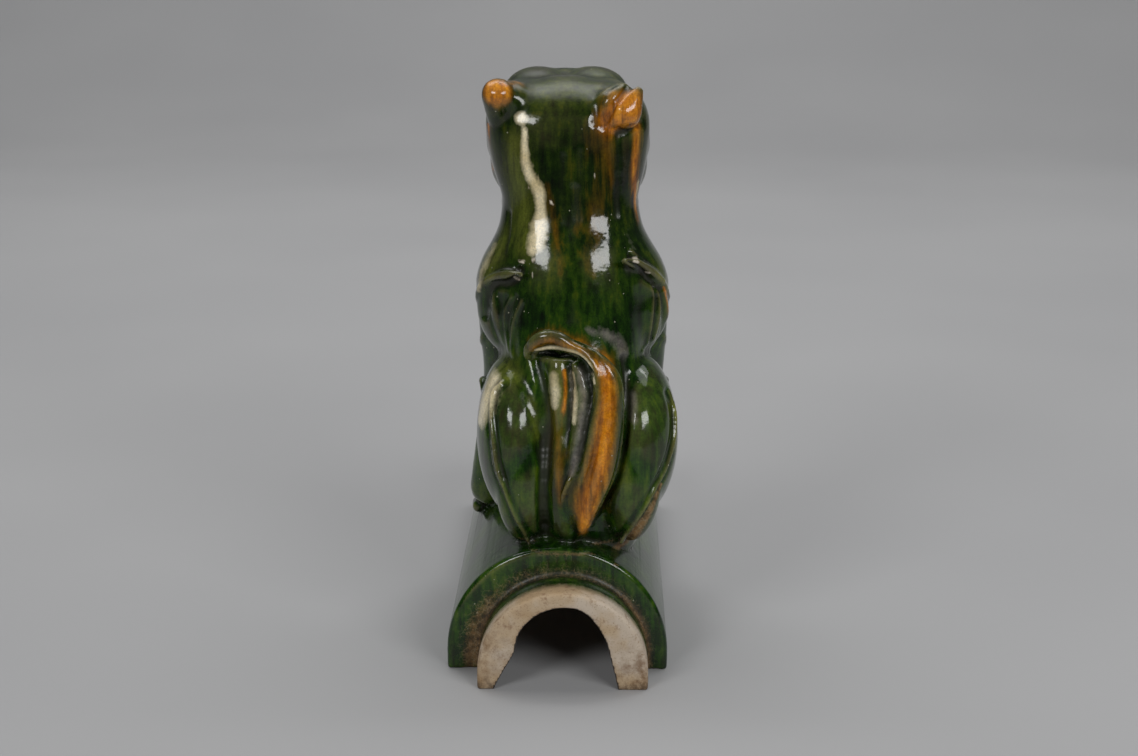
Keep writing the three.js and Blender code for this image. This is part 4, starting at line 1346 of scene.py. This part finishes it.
# %% Floor
SWEEP = 6  # the side of the paper on the floor
RISE = 4  # how high it climbs behind
bpy.ops.object.select_all(action="DESELECT")
bpy.ops.mesh.primitive_plane_add(size=SWEEP, location=(0, 0.2, 0))
sweep = bpy.context.object
sweep.name = "paper_sweep"
bpy.ops.object.mode_set(mode="EDIT")
bpy.ops.mesh.select_mode(type="EDGE")
bpy.ops.mesh.select_all(action="DESELECT")
leave_edit()
for line in sweep.data.edges:
    line.select = all(sweep.data.vertices[v].co.y > 0 for v in line.vertices)
bpy.ops.object.mode_set(mode="EDIT")
bpy.ops.mesh.extrude_region_move(TRANSFORM_OT_translate={"value": (0, 0, RISE)})
bpy.ops.mesh.select_mode(type="VERT")
leave_edit()
bpy.ops.object.transform_apply(location=True, rotation=True, scale=True)
bend = sweep.modifiers.new("bend", "BEVEL")
bend.width = 1.4
bend.segments = 24
apply_modifiers(sweep)
bpy.ops.object.shade_smooth()
paper, tree = new_material("paper")
place = add(tree, "ShaderNodeTexCoord").outputs["Object"]
tone = ramp(tree, noise(tree, place, 2.0, 2), [(0.3, (0.37, 0.37, 0.375)), (0.7, (0.40, 0.40, 0.403))])
shader = add(tree, "ShaderNodeBsdfPrincipled", {"Base Color": tone, "Roughness": 0.9,
                                               "Specular IOR Level": 0.2})
add(tree, "ShaderNodeOutputMaterial", {"Surface": shader.outputs[0]})
sweep.data.materials.append(paper)
print("faces in the paper", len(sweep.data.polygons))

# %% Lights
def softbox(name, azimuth, elevation, distance, width, height, power, target=(0.01, -0.09, 0.2)):
    """A window of light, seen from the object at an azimuth from the camera's side."""
    turn, lift = math.radians(azimuth), math.radians(elevation)
    offset = (math.sin(turn) * math.cos(lift), -math.cos(turn) * math.cos(lift), math.sin(lift))
    place = [t + distance * o for t, o in zip(target, offset)]
    bpy.ops.object.light_add(type="AREA", location=place)
    lamp = bpy.context.object
    lamp.name = name
    lamp.data.shape = "RECTANGLE"
    lamp.data.size = width
    lamp.data.size_y = height
    lamp.data.energy = power
    lamp.rotation_euler = (math.pi / 2 - lift, 0, turn)
    print(name, "at", [round(value, 2) for value in place])


# Name, azimuth and elevation in degrees, distance, width and height in metres, power in watts.
softbox("window_left", -37, 29, 1.6, 0.58, 0.42, 8)
softbox("window_right", 38, 28, 1.6, 0.84, 0.42, 11)
softbox("ceiling", 180, 70, 2.0, 3.0, 1.5, 25)
softbox("paper_light", 0, 40, 2.2, 3.2, 1.0, 47, target=(0, 2.6, 1.2))
world = bpy.data.worlds.new("studio")
bpy.context.scene.world = world
world.use_nodes = True
world.node_tree.nodes["Background"].inputs[0].default_value = (0.62, 0.64, 0.68, 1)
world.node_tree.nodes["Background"].inputs[1].default_value = 0.08
bpy.context.scene.view_settings.view_transform = "Standard"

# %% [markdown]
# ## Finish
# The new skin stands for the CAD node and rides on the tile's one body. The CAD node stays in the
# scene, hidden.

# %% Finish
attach(figure, "root")
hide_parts("ridge_tile_beast")
